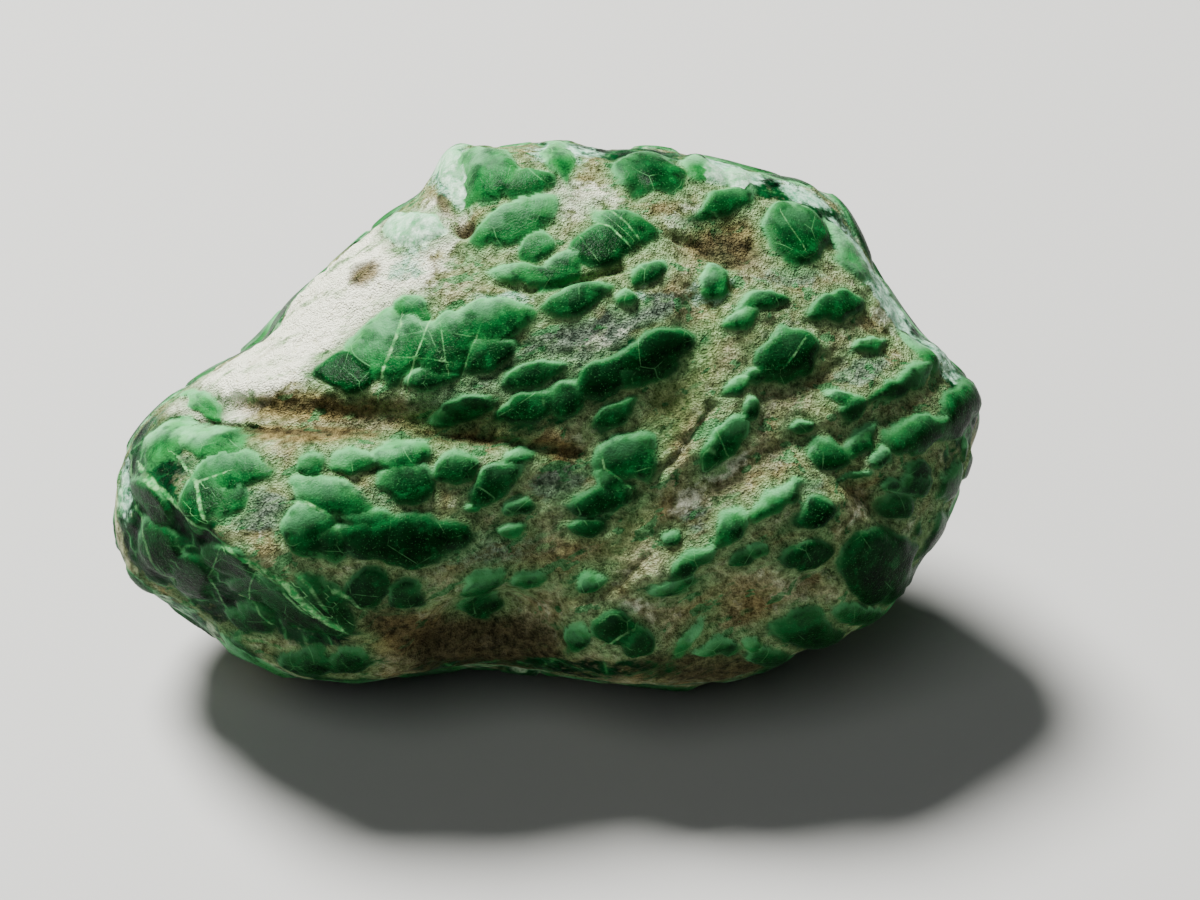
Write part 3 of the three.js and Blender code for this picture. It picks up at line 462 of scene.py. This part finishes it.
def ring_value(ring, place):
    """A smooth closed curve through a ring of equally spaced values."""
    i = np.floor(place).astype(int)
    t = place - i
    a, b, c, d = (ring[(i + k) % len(ring)] for k in (-1, 0, 1, 2))
    return b + 0.5 * t * (c - a + t * (2 * a - 5 * b + 4 * c - d + t * (3 * (b - c) + d - a)))


def smoothed_ring(ring, span):
    return sum(np.roll(ring, k) for k in range(-span, span + 1)) / (2 * span + 1)


def unit(vectors):
    return vectors / np.linalg.norm(vectors, axis=-1, keepdims=True)


def body_points(directions):
    """The points of the plain body in these directions from its centre."""
    step = np.arctan2(directions[:, 1], directions[:, 0]) / RIM_STEP
    across = np.hypot(directions[:, 0], directions[:, 1])
    front = directions[:, 2] > 0
    depth = np.where(front, FRONT_DEPTH, BACK_DEPTH)
    power = np.where(front, FRONT_SQUARENESS, BACK_SQUARENESS)

    def reach(radius):
        total = (across / radius) ** power + (np.abs(directions[:, 2]) / depth) ** power
        return total ** (-1 / power)

    soft = ring_value(smoothed_ring(RIM_RADII, SMOOTH_RIM_SPAN), step)
    w = reach(soft) * directions[:, 2]
    fine = np.exp(-((w / RIM_BAND) ** 2))
    radius = soft + fine * (ring_value(RIM_RADII, step) - soft)
    return directions * reach(radius)[:, None]


def outward(points):
    return unit(points / HALF_SIZES ** 2)


def form_rise(points):
    """Broad swells and hollows, with a little unevenness of the whole body."""
    rise = sum(height * noise(*(points / sizes + shift).T) for height, sizes, shift in (SWELLS, DIMPLES))
    for middle, reaches, height in FORMS:
        far = (((points - middle) / reaches) ** 2).sum(axis=1)
        rise += height * np.exp(-far)
    return rise


def line_distance(place, start, end):
    """Distance from each place to the stretch from start to end."""
    start, along = np.array(start), np.array(end) - start
    t = np.clip(((place - start) @ along) / (along @ along), 0, 1)
    return np.linalg.norm(place - start - t[:, None] * along, axis=1)


def path_distance(place, points):
    return np.min([line_distance(place, a, b) for a, b in zip(points, points[1:])], axis=0)


def bell(distance, width):
    return np.exp(-((distance / width) ** 2))


def ridge_rise(place):
    return sum(height * bell(line_distance(place, a, b), width) for a, b, width, height in RIDGES)


def crack_depth(place):
    depth = np.zeros(len(place))
    for points, width, deep in CRACKS:
        depth = np.maximum(depth, deep * bell(path_distance(place, points), width))
    for middle, radius, deep in PITS:
        depth = np.maximum(depth, deep * bell(np.linalg.norm(place - middle, axis=1), radius))
    return depth


def turned(place, u, v, degrees):
    """Each place along and across a direction at (u, v)."""
    turn = math.radians(degrees)
    du, dv = place[:, 0] - u, place[:, 1] - v
    along = du * math.cos(turn) + dv * math.sin(turn)
    return along, dv * math.cos(turn) - du * math.sin(turn)


class LumpField:
    """What the lumps give each point: its depth inside the nearest edge, rise, paleness, and how far it
    lies towards the lump's lit side, where the colour gets painted light.
    """

    def __init__(self, count):
        self.inside = np.full(count, FAR_FROM_LUMPS)
        self.rise = np.zeros(count)
        self.pale = np.full(count, PALENESS_BETWEEN_LUMPS)
        self.lit_side = np.zeros(count)

    def add(self, where, along, across, length, width, height, pale, lit_side):
        power = LEAF_POWER if length > LEAF_SLENDERNESS * width else 2
        share = (np.abs(along / length) ** power + np.abs(across / width) ** power) ** (1 / power)
        inside = (1 - share) * min(length, width)
        nearer = inside > self.inside[where]
        keep = where[nearer]
        self.inside[keep] = inside[nearer]
        self.pale[keep] = pale
        self.lit_side[keep] = lit_side[nearer]
        soft = 1 - smoothstep(*LUMP_SHOULDER, share)
        dome = height * soft * (1 - LUMP_DOME * share * share)
        self.rise[where] = np.maximum(self.rise[where], dome)


def face_lumps(points, place):
    field = LumpField(len(points))
    waver = np.stack([layered(points, FACE_WAVER_ALONG), layered(points, FACE_WAVER_UP)], axis=1)
    wavered = place + waver
    ragged = layered(points, FACE_RAGGED_EDGE)
    for u, v, length, width, degrees, pale in LUMPS:
        length, width = length * LUMP_GROWTH, width * LUMP_GROWTH
        reach = LUMP_REACH_IN_LENGTHS * length + LUMP_REACH_MARGIN
        close = np.hypot(place[:, 0] - u, place[:, 1] - v) < reach
        where = np.flatnonzero(close & (points[:, 2] > 0))
        near = wavered[where]
        along, across = turned(near, u, v, degrees)
        across = across + ragged[where]
        # how far each point lies towards the lump's upper left, its lit side, where the colour gets
        # painted light
        lit_side = np.clip((near[:, 1] - v + LIGHT_SIDE_SLANT * (u - near[:, 0])) / width, -1, 1)
        height = LUMP_RISE + LUMP_RISE_PER_WIDTH * width
        field.add(where, along, across, length, width, height, pale, lit_side)
    return field


def golden_direction(i, count):
    """The i-th of this many directions spread evenly all round, by the golden angle."""
    height = 1 - 2 * (i + 0.5) / count
    around = math.sqrt(1 - height * height)
    angle = i * GOLDEN_ANGLE
    return np.array([around * math.cos(angle), around * math.sin(angle), height])


def between(ends, share):
    low, high = ends
    return low + share * (high - low)


def back_lumps(points):
    field = LumpField(len(points))
    waver = layered(points, BACK_WAVER_ALONG)
    skew = layered(points, BACK_WAVER_ACROSS)
    for i in range(BACK_LUMPS):
        direction = unit(golden_direction(i, BACK_LUMPS) * HALF_SIZES)
        middle = body_points(direction[None])[0]
        out = outward(middle)
        if out[2] > FACE_FADE[1]:
            continue
        lean_v, lean_w = BACK_LUMP_LEAN
        along = np.array([1, lean_v * (lattice(i, 1, 0) - 0.5), lean_w * (lattice(i, 2, 0) - 0.5)])
        along = unit(along - out * (along @ out))
        cross = np.cross(out, along)
        length = between(BACK_LUMP_LENGTH, lattice(i, 3, 0))
        width = length * between(BACK_LUMP_SLENDERNESS, lattice(i, 4, 0))
        offset = points - middle
        reach = BACK_LUMP_REACH_IN_LENGTHS * length
        where = np.flatnonzero(np.linalg.norm(offset, axis=1) < reach)
        offset = offset[where]
        pale = BACK_PALENESS * lattice(i, 5, 0) ** BACK_PALENESS_POWER
        # how far each point lies upward, towards its lit side, where the colour gets painted light
        lit_side = np.clip(offset[:, 1] / width, -1, 1)
        field.add(where, offset @ along + waver[where], offset @ cross + skew[where],
                  length, width, BACK_LUMP_RISE, pale, lit_side)
    return field


def zone_weight(place, zones):
    weight = np.zeros(len(place))
    for u, v, length, width, degrees, strength in zones:
        along, across = turned(place, u, v, degrees)
        far = np.hypot(along / length, across / width)
        weight = np.maximum(weight, strength * (1 - smoothstep(*ZONE_FADE, far)))
    return weight


def vein_looks(place):
    """How far each place lies to one side of the nearest vein, in widths, and how strong the vein is."""
    nearest = np.full(len(place), np.inf)
    side, weight = np.zeros(len(place)), np.zeros(len(place))
    for points, width, strength in VEINS_AND_RIM_HIGHLIGHT:
        for start, end in zip(points, points[1:]):
            away = line_distance(place, start, end)
            du, dv = place[:, 0] - start[0], place[:, 1] - start[1]
            sign = np.sign((end[0] - start[0]) * dv - (end[1] - start[1]) * du)
            nearer = away < nearest
            side[nearer] = (sign * away)[nearer] / (width + VEIN_SOFTNESS)
            weight[nearer] = strength * (1 - smoothstep(*VEIN_FADE, away[nearer] - width))
            nearest[nearer] = away[nearer]
    return side, weight


def sphere_grid(steps):
    """A sphere made of six square grids: unit points, and quads that face outward."""
    edge = np.tan(np.linspace(-math.pi / 4, math.pi / 4, steps + 1))
    b, a = np.meshgrid(edge, edge, indexing="ij")
    flat = np.stack([a.ravel(), b.ravel(), np.ones(a.size)], axis=1)
    corner = np.arange(steps)[None, :] + (steps + 1) * np.arange(steps)[:, None]
    corners = [corner, corner + 1, corner + steps + 2, corner + steps + 1]
    quad = np.stack(corners, axis=-1).reshape(-1, 4)
    points, quads = [], []
    for axis in range(3):
        for side in (1, -1):
            turn = np.roll(np.diag([side, 1, side]), axis, axis=1)
            quads.append(quad + len(points) * len(flat))
            points.append(flat @ turn)
    points = unit(np.concatenate(points))
    key = np.round(points, 6) + 0.0
    _, first, same = np.unique(key, axis=0, return_index=True, return_inverse=True)
    return points[first], same.reshape(-1)[np.concatenate(quads)]


def crowded(directions):
    """Draws the points of a sphere together towards +w."""
    from_front = np.arccos(np.clip(directions[:, 2], -0.9999999, 1))
    moved = 2 * np.arctan(FACE_CROWDING * np.tan(from_front / 2))
    across = np.maximum(np.hypot(directions[:, 0], directions[:, 1]), 1e-9)
    flat = directions[:, :2] * (np.sin(moved) / across)[:, None]
    return np.column_stack([flat, np.cos(moved)])


def seen_at(points):
    """Where points of the face appear from the photograph's place, measured across the face."""
    closer = VIEW_DISTANCE / (VIEW_DISTANCE - points[:, 2])
    return points[:, :2] * closer[:, None]


def stone_surface_points(directions):
    """The finished surface in the face frame, and the value of each look at its points."""
    body = body_points(directions)
    out = outward(body)
    formed = body + out * form_rise(body)[:, None]
    place = seen_at(formed)
    on_face = smoothstep(*FACE_FADE, out[:, 2])
    face, back = face_lumps(formed, place), back_lumps(formed)
    cracks = crack_depth(place)
    lump = on_face * face.inside + (1 - on_face) * back.inside
    bare = 1 - smoothstep(*BED_FADE, lump)
    relief = on_face * (ridge_rise(place) + face.rise - cracks) + (1 - on_face) * back.rise
    relief += on_face * bare * layered(formed, BED_ROUGHNESS) + layered(formed, SURFACE_ROUGHNESS)
    bend = np.stack([layered(formed, VEIN_BEND_ALONG), layered(formed, VEIN_BEND_UP)], axis=1)
    vein_side, vein = vein_looks(place + bend)
    looks = {
        "lump": lump,
        "pale": np.where(on_face > 0.5, face.pale, back.pale),
        "lit_side": np.where(on_face > 0.5, face.lit_side, back.lit_side),
        "crack": on_face * np.clip(cracks / DARKEST_CRACK, 0, 1),
        "vein": on_face * vein,
        "vein_side": vein_side,
        "worn": 1 - on_face,
    }
    for name, zones in ZONES.items():
        looks[name] = on_face * zone_weight(place, zones)
    return formed + out * relief[:, None], looks


def to_row_frame(points):
    """Leans the face back and sets the stone on the floor where the CAD stone stands, in metres."""
    s, c = math.sin(FACE_LEAN), math.cos(FACE_LEAN)
    u, v, w = points.T
    rows = np.stack([u, v * s - w * c, v * c + w * s], axis=1)
    low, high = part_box("stone")
    cad_middle = (np.array(low) + np.array(high)) / 2 / MM
    cad_top = np.array(high)[2] / MM
    middle = (rows.min(axis=0) + rows.max(axis=0)) / 2
    shift = np.array([cad_middle[0] - middle[0], cad_middle[1] - middle[1], cad_top - rows[:, 2].max()])
    rows = rows + shift
    rows[:, 2] = np.maximum(rows[:, 2], 0)
    return rows * MM, Vector(shift * MM)


def make_stone():
    directions, quads = sphere_grid(GRID_STEPS)
    directions = unit(crowded(directions) * HALF_SIZES)
    points, looks = stone_surface_points(directions)
    rows, middle = to_row_frame(points)
    mesh = bpy.data.meshes.new("stone_surface")
    mesh.from_pydata(rows.tolist(), [], quads.tolist())
    mesh.shade_smooth()
    for name, values in looks.items():
        attribute = mesh.attributes.new(name, "FLOAT", "POINT")
        attribute.data.foreach_set("value", values.astype(np.float32))
    stone = bpy.data.objects.new("stone_surface", mesh)
    bpy.context.scene.collection.objects.link(stone)
    return stone, middle


class Shader:
    """A material's node tree, with short calls for the nodes that it is made of."""

    def __init__(self, name):
        self.material = bpy.data.materials.new(name)
        self.material.use_nodes = True
        self.tree = self.material.node_tree
        self.surface = self.tree.nodes["Principled BSDF"]
        self.spot = self.tree.nodes.new("ShaderNodeTexCoord").outputs["Object"]
        self.spot = self.stretched((MM, MM, MM))

    def link(self, value, socket):
        if isinstance(value, bpy.types.NodeSocket):
            self.tree.links.new(value, socket)
        elif isinstance(value, tuple):
            socket.default_value = (*value, 1)
        else:
            socket.default_value = value

    def stretched(self, sizes, turn=(0, 0, 0)):
        """The place measured in these sizes, along axes turned by these angles."""
        node = self.tree.nodes.new("ShaderNodeMapping")
        node.vector_type = "TEXTURE"
        self.link(self.spot, node.inputs["Vector"])
        node.inputs["Scale"].default_value = sizes
        node.inputs["Rotation"].default_value = turn
        return node.outputs["Vector"]

    def look(self, name):
        node = self.tree.nodes.new("ShaderNodeAttribute")
        node.attribute_name = name
        return node.outputs["Fac"]

    def noise(self, size, detail=3, vector=None, rough=0.55):
        """Noise from 0 to 1 with features of this size in millimetres."""
        node = self.tree.nodes.new("ShaderNodeTexNoise")
        self.link(vector or self.spot, node.inputs["Vector"])
        node.inputs["Scale"].default_value = 1 / size
        node.inputs["Detail"].default_value = detail
        node.inputs["Roughness"].default_value = rough
        return node.outputs["Fac"]

    def cells(self, size):
        """The distance to the nearest edge of cells of this size in millimetres."""
        node = self.tree.nodes.new("ShaderNodeTexVoronoi")
        node.feature = "DISTANCE_TO_EDGE"
        self.link(self.spot, node.inputs["Vector"])
        node.inputs["Scale"].default_value = 1 / size
        return node.outputs["Distance"]

    def math(self, operation, a, b=0.0):
        node = self.tree.nodes.new("ShaderNodeMath")
        node.operation = operation
        self.link(a, node.inputs[0])
        self.link(b, node.inputs[1])
        return node.outputs[0]

    def step(self, value, low, high, to_low=0.0, to_high=1.0):
        """Goes smoothly from to_low where value is low to to_high where it is high."""
        node = self.tree.nodes.new("ShaderNodeMapRange")
        node.interpolation_type = "SMOOTHSTEP"
        for socket, number in zip(node.inputs, (value, low, high, to_low, to_high)):
            self.link(number, socket)
        return node.outputs[0]

    def mix(self, share, a, b):
        node = self.tree.nodes.new("ShaderNodeMix")
        node.data_type = "RGBA"
        self.link(share, node.inputs["Factor"])
        colours = [s for s in node.inputs if s.type == "RGBA"]
        self.link(a, colours[0])
        self.link(b, colours[1])
        return [s for s in node.outputs if s.type == "RGBA"][0]

    def times(self, a, b):
        return self.math("MULTIPLY", a, b)

    def plus(self, a, b):
        return self.math("ADD", a, b)

    def bump(self, height, depth):
        """The normal of a surface raised by height times this depth in millimetres."""
        node = self.tree.nodes.new("ShaderNodeBump")
        node.inputs["Distance"].default_value = depth * MM
        self.link(height, node.inputs["Height"])
        return node.outputs["Normal"]


class StoneShader(Shader):
    """The shader of the stone, with the grains that its colours share."""

    def __init__(self):
        super().__init__("maw_sit_sit")
        self.fine = self.noise(0.3, 4)
        self.tiny = self.noise(0.08, 2)
        self.grit = self.plus(self.times(self.fine, 0.68), self.times(self.tiny, 0.32))
        self.streak = self.stretched(STREAK_SIZES, STREAK_TURN)
        self.leafy = self.noise(1, 6, self.streak, 0.62)
        self.soft = self.noise(0.8, 2)
        self.cloud = self.noise(0.75, 5, rough=0.7)
        wobble = self.plus(self.spread(self.fine, 0.2), self.spread(self.tiny, 0.08))
        self.inside = self.plus(self.look("lump"), wobble)
        self.green = self.step(self.inside, -0.1, 0.06)
        self.worn = self.step(self.plus(self.look("worn"), self.spread(self.leafy, 1.5)), 0.3, 0.7)

    def spread(self, grain, amount):
        """The grain about zero, this many times as strong."""
        return self.times(self.math("SUBTRACT", grain, 0.5), amount)

    def patchy(self, name, strength=1.0):
        """A zone's weight with a ragged edge."""
        ragged = self.plus(self.look(name), self.spread(self.leafy, 1.5))
        ragged = self.plus(ragged, self.spread(self.fine, 0.8))
        present = self.step(self.look(name), 0.02, 0.3, 0.0, strength)
        return self.times(self.step(ragged, 0.25, 0.7), present)

    def stained(self, name, strength=1.0):
        """A zone's weight that fades out slowly."""
        ragged = self.plus(self.look(name), self.spread(self.leafy, 0.9))
        present = self.step(self.look(name), 0.0, 0.5, 0.0, strength)
        return self.times(self.step(ragged, 0.0, 1.0), present)

    def grained(self, colours, low=0.32, high=0.68):
        """From the dark colour to the light one, with the grit."""
        return self.mix(self.step(self.grit, low, high), *colours)


def crumbly_matrix(s):
    """The worn bed between the lumps: tan to olive, with crumbs, stains and a green tint."""
    bed = s.mix(s.step(s.leafy, 0.42, 0.58), s.grained(OLIVE), s.grained(TAN))
    bed = s.mix(s.step(s.noise(1.7, 4), 0.48, 0.64, 0, 0.8), bed, s.grained(OCHRE))
    bed = s.mix(s.step(s.cloud, 0.54, 0.66, 0, 0.8), bed, s.grained(PALE_CRUMBS))
    bed = s.mix(s.patchy("grey", 0.95), bed, s.grained(GREY, 0.36, 0.66))
    cream = s.grained(CREAM, 0.26, 0.48)
    cream = s.mix(s.step(s.leafy, 0.5, 0.66, 0, 0.6), cream, s.grained(GREEN_CREAM))
    cream = s.mix(s.step(s.noise(0.9, 5), 0.58, 0.72, 0, 0.5), cream, s.grained(SOILED_CREAM))
    bed = s.mix(s.patchy("cream"), bed, cream)
    bed = s.mix(s.stained("rust", 0.9), bed, s.grained(RUST))
    return s.mix(s.stained("lime", 0.85), bed, s.grained(LIME))


def tinted_matrix(s, bed):
    """The bed with green seeping in round the lumps, dark specks, umber and painted shade in the hollows
    and under the overhang, and painted shade in the cracks.
    """
    seep = s.step(s.plus(s.inside, s.spread(s.leafy, 1.0)), -0.7, 0.05, 0.0, 0.8)
    bed = s.mix(seep, bed, s.grained(SEEPING_GREEN))
    drift = s.times(s.step(s.leafy, 0.52, 0.66), s.step(s.cloud, 0.42, 0.56, 0.15, 0.75))
    bed = s.mix(drift, bed, s.grained(DRIFTING_GREEN))
    bare = s.step(s.look("cream"), 0.2, 0.6, 1, 0)
    chips = s.step(s.noise(1.1, 3, s.streak), 0.6, 0.635, 0, 0.8)
    bed = s.mix(s.times(chips, bare), bed, s.grained(GREEN_CHIPS))
    speckled = s.step(s.look("grey"), 0, 1, 0.15, 0.65)
    bed = s.mix(s.times(s.step(s.noise(0.14, 3), 0.58, 0.72), speckled), bed, DARK_SPECK)
    # painted shade in the hollows and under the overhang, over some real umber
    bed = s.mix(s.stained("umber_and_shade", 0.95), bed, s.grained(UMBER_AND_SHADE))
    # painted shade in the cracks, darkest where they are deepest
    return s.mix(s.step(s.look("crack"), 0.3, 1.0, 0, 0.7), bed, CRACK_SHADE)


def jade_streaks(s):
    """Flush dark jade with brighter leaves in it."""
    # near black, partly painted shade
    dark = s.mix(s.step(s.fine, 0.35, 0.65), *JADE_DARK_AND_SHADE)
    leaves = s.mix(s.step(s.leafy, 0.54, 0.7, 0, 0.6), dark, JADE_LEAF)
    blocks = s.cells(BLOCK_SIZE)
    seams = s.times(s.step(blocks, 0.0, 0.05, 1, 0), s.step(s.cloud, 0.44, 0.58, 0.0, 0.55))
    leaves = s.mix(s.step(blocks, 0.03, 0.25, 0.2, 0), leaves, JADE_BLOCK_EDGE)
    leaves = s.mix(seams, leaves, JADE_SEAM)
    return s.mix(s.step(s.noise(0.5, 4), 0.66, 0.74), leaves, s.grained(JADE_SPOT))


def lump_colour(s):
    """Glassy green: dark and cloudy inside, with a paler rind and a thin light edge, both partly painted
    light that is strongest towards the light, and a painted sheen towards the light.
    """
    pale = s.look("pale")
    inside = s.plus(s.look("lump"), s.spread(s.fine, 0.1))
    # painted light: the side towards the light gets a paler rind, a sheen and a brighter edge
    towards_light = s.step(s.look("lit_side"), -0.4, 0.9)
    rim = s.times(s.step(inside, 0.0, 0.55, 1, 0), s.plus(0.3, s.times(towards_light, 0.7)))
    lump = s.mix(rim, s.mix(s.step(pale, 0, 0.9), *LUMP_DEEP), s.mix(pale, *LUMP_RIND))
    lump = s.mix(s.step(s.cloud, 0.47, 0.62, 0, 0.9), lump, s.mix(pale, *LUMP_DARK_CLOUD))
    lump = s.mix(s.step(s.cloud, 0.34, 0.47, 0.5, 0), lump, s.mix(pale, *LUMP_GLOW))
    milky = s.times(s.step(pale, 0.85, 1.1), s.step(s.cloud, 0.36, 0.54, 0.25, 0.85))
    lump = s.mix(milky, lump, s.grained(LUMP_MILKY))
    # painted sheen on the side towards the light
    painted_sheen = s.times(towards_light, s.step(pale, 0.0, 0.7, 0.08, 0.66))
    painted_sheen = s.times(painted_sheen, s.step(s.soft, 0.36, 0.6, 0.25, 1.0))
    painted_sheen = s.times(painted_sheen, s.step(s.grit, 0.34, 0.6, 0.7, 1.0))
    lump = s.mix(painted_sheen, lump, s.mix(pale, *LUMP_LIT_SHEEN))
    # the thin light edge, brighter towards the light as a painted highlight
    edge = s.times(s.step(inside, 0.04, 0.17, 1, 0), s.step(s.look("lit_side"), -0.3, 0.7, 0.12, 0.75))
    edge = s.times(edge, s.step(pale, 0.0, 0.4, 0.35, 1.0))
    lump = s.mix(s.times(edge, s.step(s.cloud, 0.36, 0.56, 0.3, 1.0)), lump, LUMP_EDGE)
    fractures = s.times(s.step(s.cells(BLOCK_SIZE), 0.0, 0.013, 1, 0), s.step(s.noise(1.3), 0.48, 0.6))
    lump = s.mix(s.times(fractures, 0.35), lump, FRACTURE)
    return s.mix(s.step(s.noise(0.07, 1), 0.62, 0.72, 0, 0.35), lump, BRIGHT_SPECK)


def healed_veins(s):
    """The share of vein, with a frayed edge and gaps."""
    frayed = s.plus(s.look("vein_side"), s.plus(s.spread(s.fine, 1.6), s.spread(s.tiny, 1.2)))
    line = s.step(s.math("ABSOLUTE", frayed), 0.4, 1.7, 1, 0)
    return s.times(s.times(line, s.look("vein")), s.step(s.leafy, 0.38, 0.52, 0.3, 1.0))


def worn_colour(s, bed):
    """The rubbed sides and back: flush leaves of green in a bed that shows through in places."""
    dark = s.mix(s.step(s.fine, 0.35, 0.65), *WORN_DARK)
    pale = s.mix(s.step(s.fine, 0.35, 0.6), *WORN_PALE)
    worn = s.mix(s.step(s.leafy, 0.44, 0.6), dark, pale)
    worn = s.mix(s.step(s.noise(2.6, 4), 0.48, 0.62, 0, 0.8), worn, bed)
    milky = s.times(s.step(s.noise(1.1, 5), 0.56, 0.7, 0, 0.8), s.step(s.fine, 0.4, 0.6, 0.3, 1.0))
    return s.mix(milky, worn, WORN_MILKY)


def crumb_height(s):
    """The height of the finest crumbs, about zero."""
    crumbs = s.plus(s.spread(s.tiny, 0.9), s.spread(s.noise(0.7, 3), 0.9))
    crumbs = s.plus(s.spread(s.fine, 0.8), crumbs)
    return s.plus(crumbs, s.spread(s.leafy, 0.12))


def stone_material():
    s = StoneShader()
    plain_bed = crumbly_matrix(s)
    jade = s.times(s.patchy("jade"), s.step(s.look("jade"), 0.05, 0.3))
    bed = s.mix(jade, tinted_matrix(s, plain_bed), jade_streaks(s))
    # pale mint patches, which along the rims are a painted highlight
    bed = s.mix(s.patchy("mint_and_sheen", 0.85), bed, s.grained(MINT_AND_SHEEN))
    bed = s.mix(s.worn, bed, worn_colour(s, plain_bed))
    colour = s.mix(s.green, bed, lump_colour(s))
    # healed veins, with a painted highlight along the left end of the rim
    colour = s.mix(healed_veins(s), colour, s.mix(s.step(s.fine, 0.4, 0.6), *VEIN))
    s.link(colour, s.surface.inputs["Base Color"])
    s.link(SPECULAR_LEVEL, s.surface.inputs["Specular IOR Level"])
    s.link(REFRACTION, s.surface.inputs["IOR"])

    polished = s.math("MAXIMUM", s.math("MAXIMUM", s.green, jade), s.times(s.worn, 0.8))
    dull = s.step(s.fine, 0.3, 0.7, *DULL_ROUGHNESS)
    glossy = s.step(s.tiny, 0.3, 0.7, *GLOSSY_ROUGHNESS)
    gap = s.times(s.math("SUBTRACT", glossy, dull), polished)
    s.link(s.plus(dull, gap), s.surface.inputs["Roughness"])
    height = s.times(s.step(polished, 0, 1, 1.0, POLISHED_CRUMBS), crumb_height(s))
    s.link(s.bump(height, CRUMB_DEPTH), s.surface.inputs["Normal"])
    return s.material


def make_floor():
    bpy.ops.mesh.primitive_plane_add(size=FLOOR_SIZE)
    floor = bpy.context.active_object
    floor.name = "floor"
    s = Shader("pale_floor")
    s.link(FLOOR_COLOUR, s.surface.inputs["Base Color"])
    s.link(FLOOR_ROUGHNESS, s.surface.inputs["Roughness"])
    floor.data.materials.append(s.material)
    return floor


def add_area_light(name, place, size, power, colour):
    light = bpy.data.lights.new(name, "AREA")
    light.shape = "DISK"
    light.size = size
    light.energy = power
    light.color = colour
    lamp = bpy.data.objects.new(name, light)
    lamp.location = place
    lamp.rotation_euler = (Vector(place) - Vector(LIGHT_AIM)).to_track_quat("Z", "Y").to_euler()
    bpy.context.scene.collection.objects.link(lamp)


def add_lights():
    add_area_light("key", *KEY_LIGHT)
    add_area_light("fill", *FILL_LIGHT)
    world = bpy.data.worlds.new("studio")
    world.use_nodes = True
    background = world.node_tree.nodes["Background"]
    background.inputs["Color"].default_value = SKY_COLOUR
    background.inputs["Strength"].default_value = SKY_STRENGTH
    bpy.context.scene.world = world


def add_camera(stone_middle):
    s, c = math.sin(FACE_LEAN), math.cos(FACE_LEAN)
    right, up, towards = Vector((1, 0, 0)), Vector((0, s, c)), Vector((0, -c, s))
    across = (PHOTO_WIDTH / 2 - STONE_PIXEL[0]) / PIXELS_PER_MM * MM
    down = (PHOTO_HEIGHT / 2 - STONE_PIXEL[1]) / PIXELS_PER_MM * MM
    target = stone_middle + right * across - up * down
    data = bpy.data.cameras.new("camera")
    data.sensor_width = SENSOR_WIDTH
    data.lens = SENSOR_WIDTH * VIEW_DISTANCE * PIXELS_PER_MM / PHOTO_WIDTH
    data.clip_start = NEAREST_SEEN
    camera = bpy.data.objects.new("camera", data)
    turn = Matrix((right, up, towards)).transposed().to_4x4()
    camera.matrix_world = Matrix.Translation(target + towards * VIEW_DISTANCE * MM) @ turn
    bpy.context.scene.collection.objects.link(camera)
    bpy.context.scene.camera = camera


stone, stone_middle = make_stone()
stone.data.materials.append(stone_material())
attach(stone, "root")
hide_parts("stone")
make_floor()
add_lights()
add_camera(stone_middle)
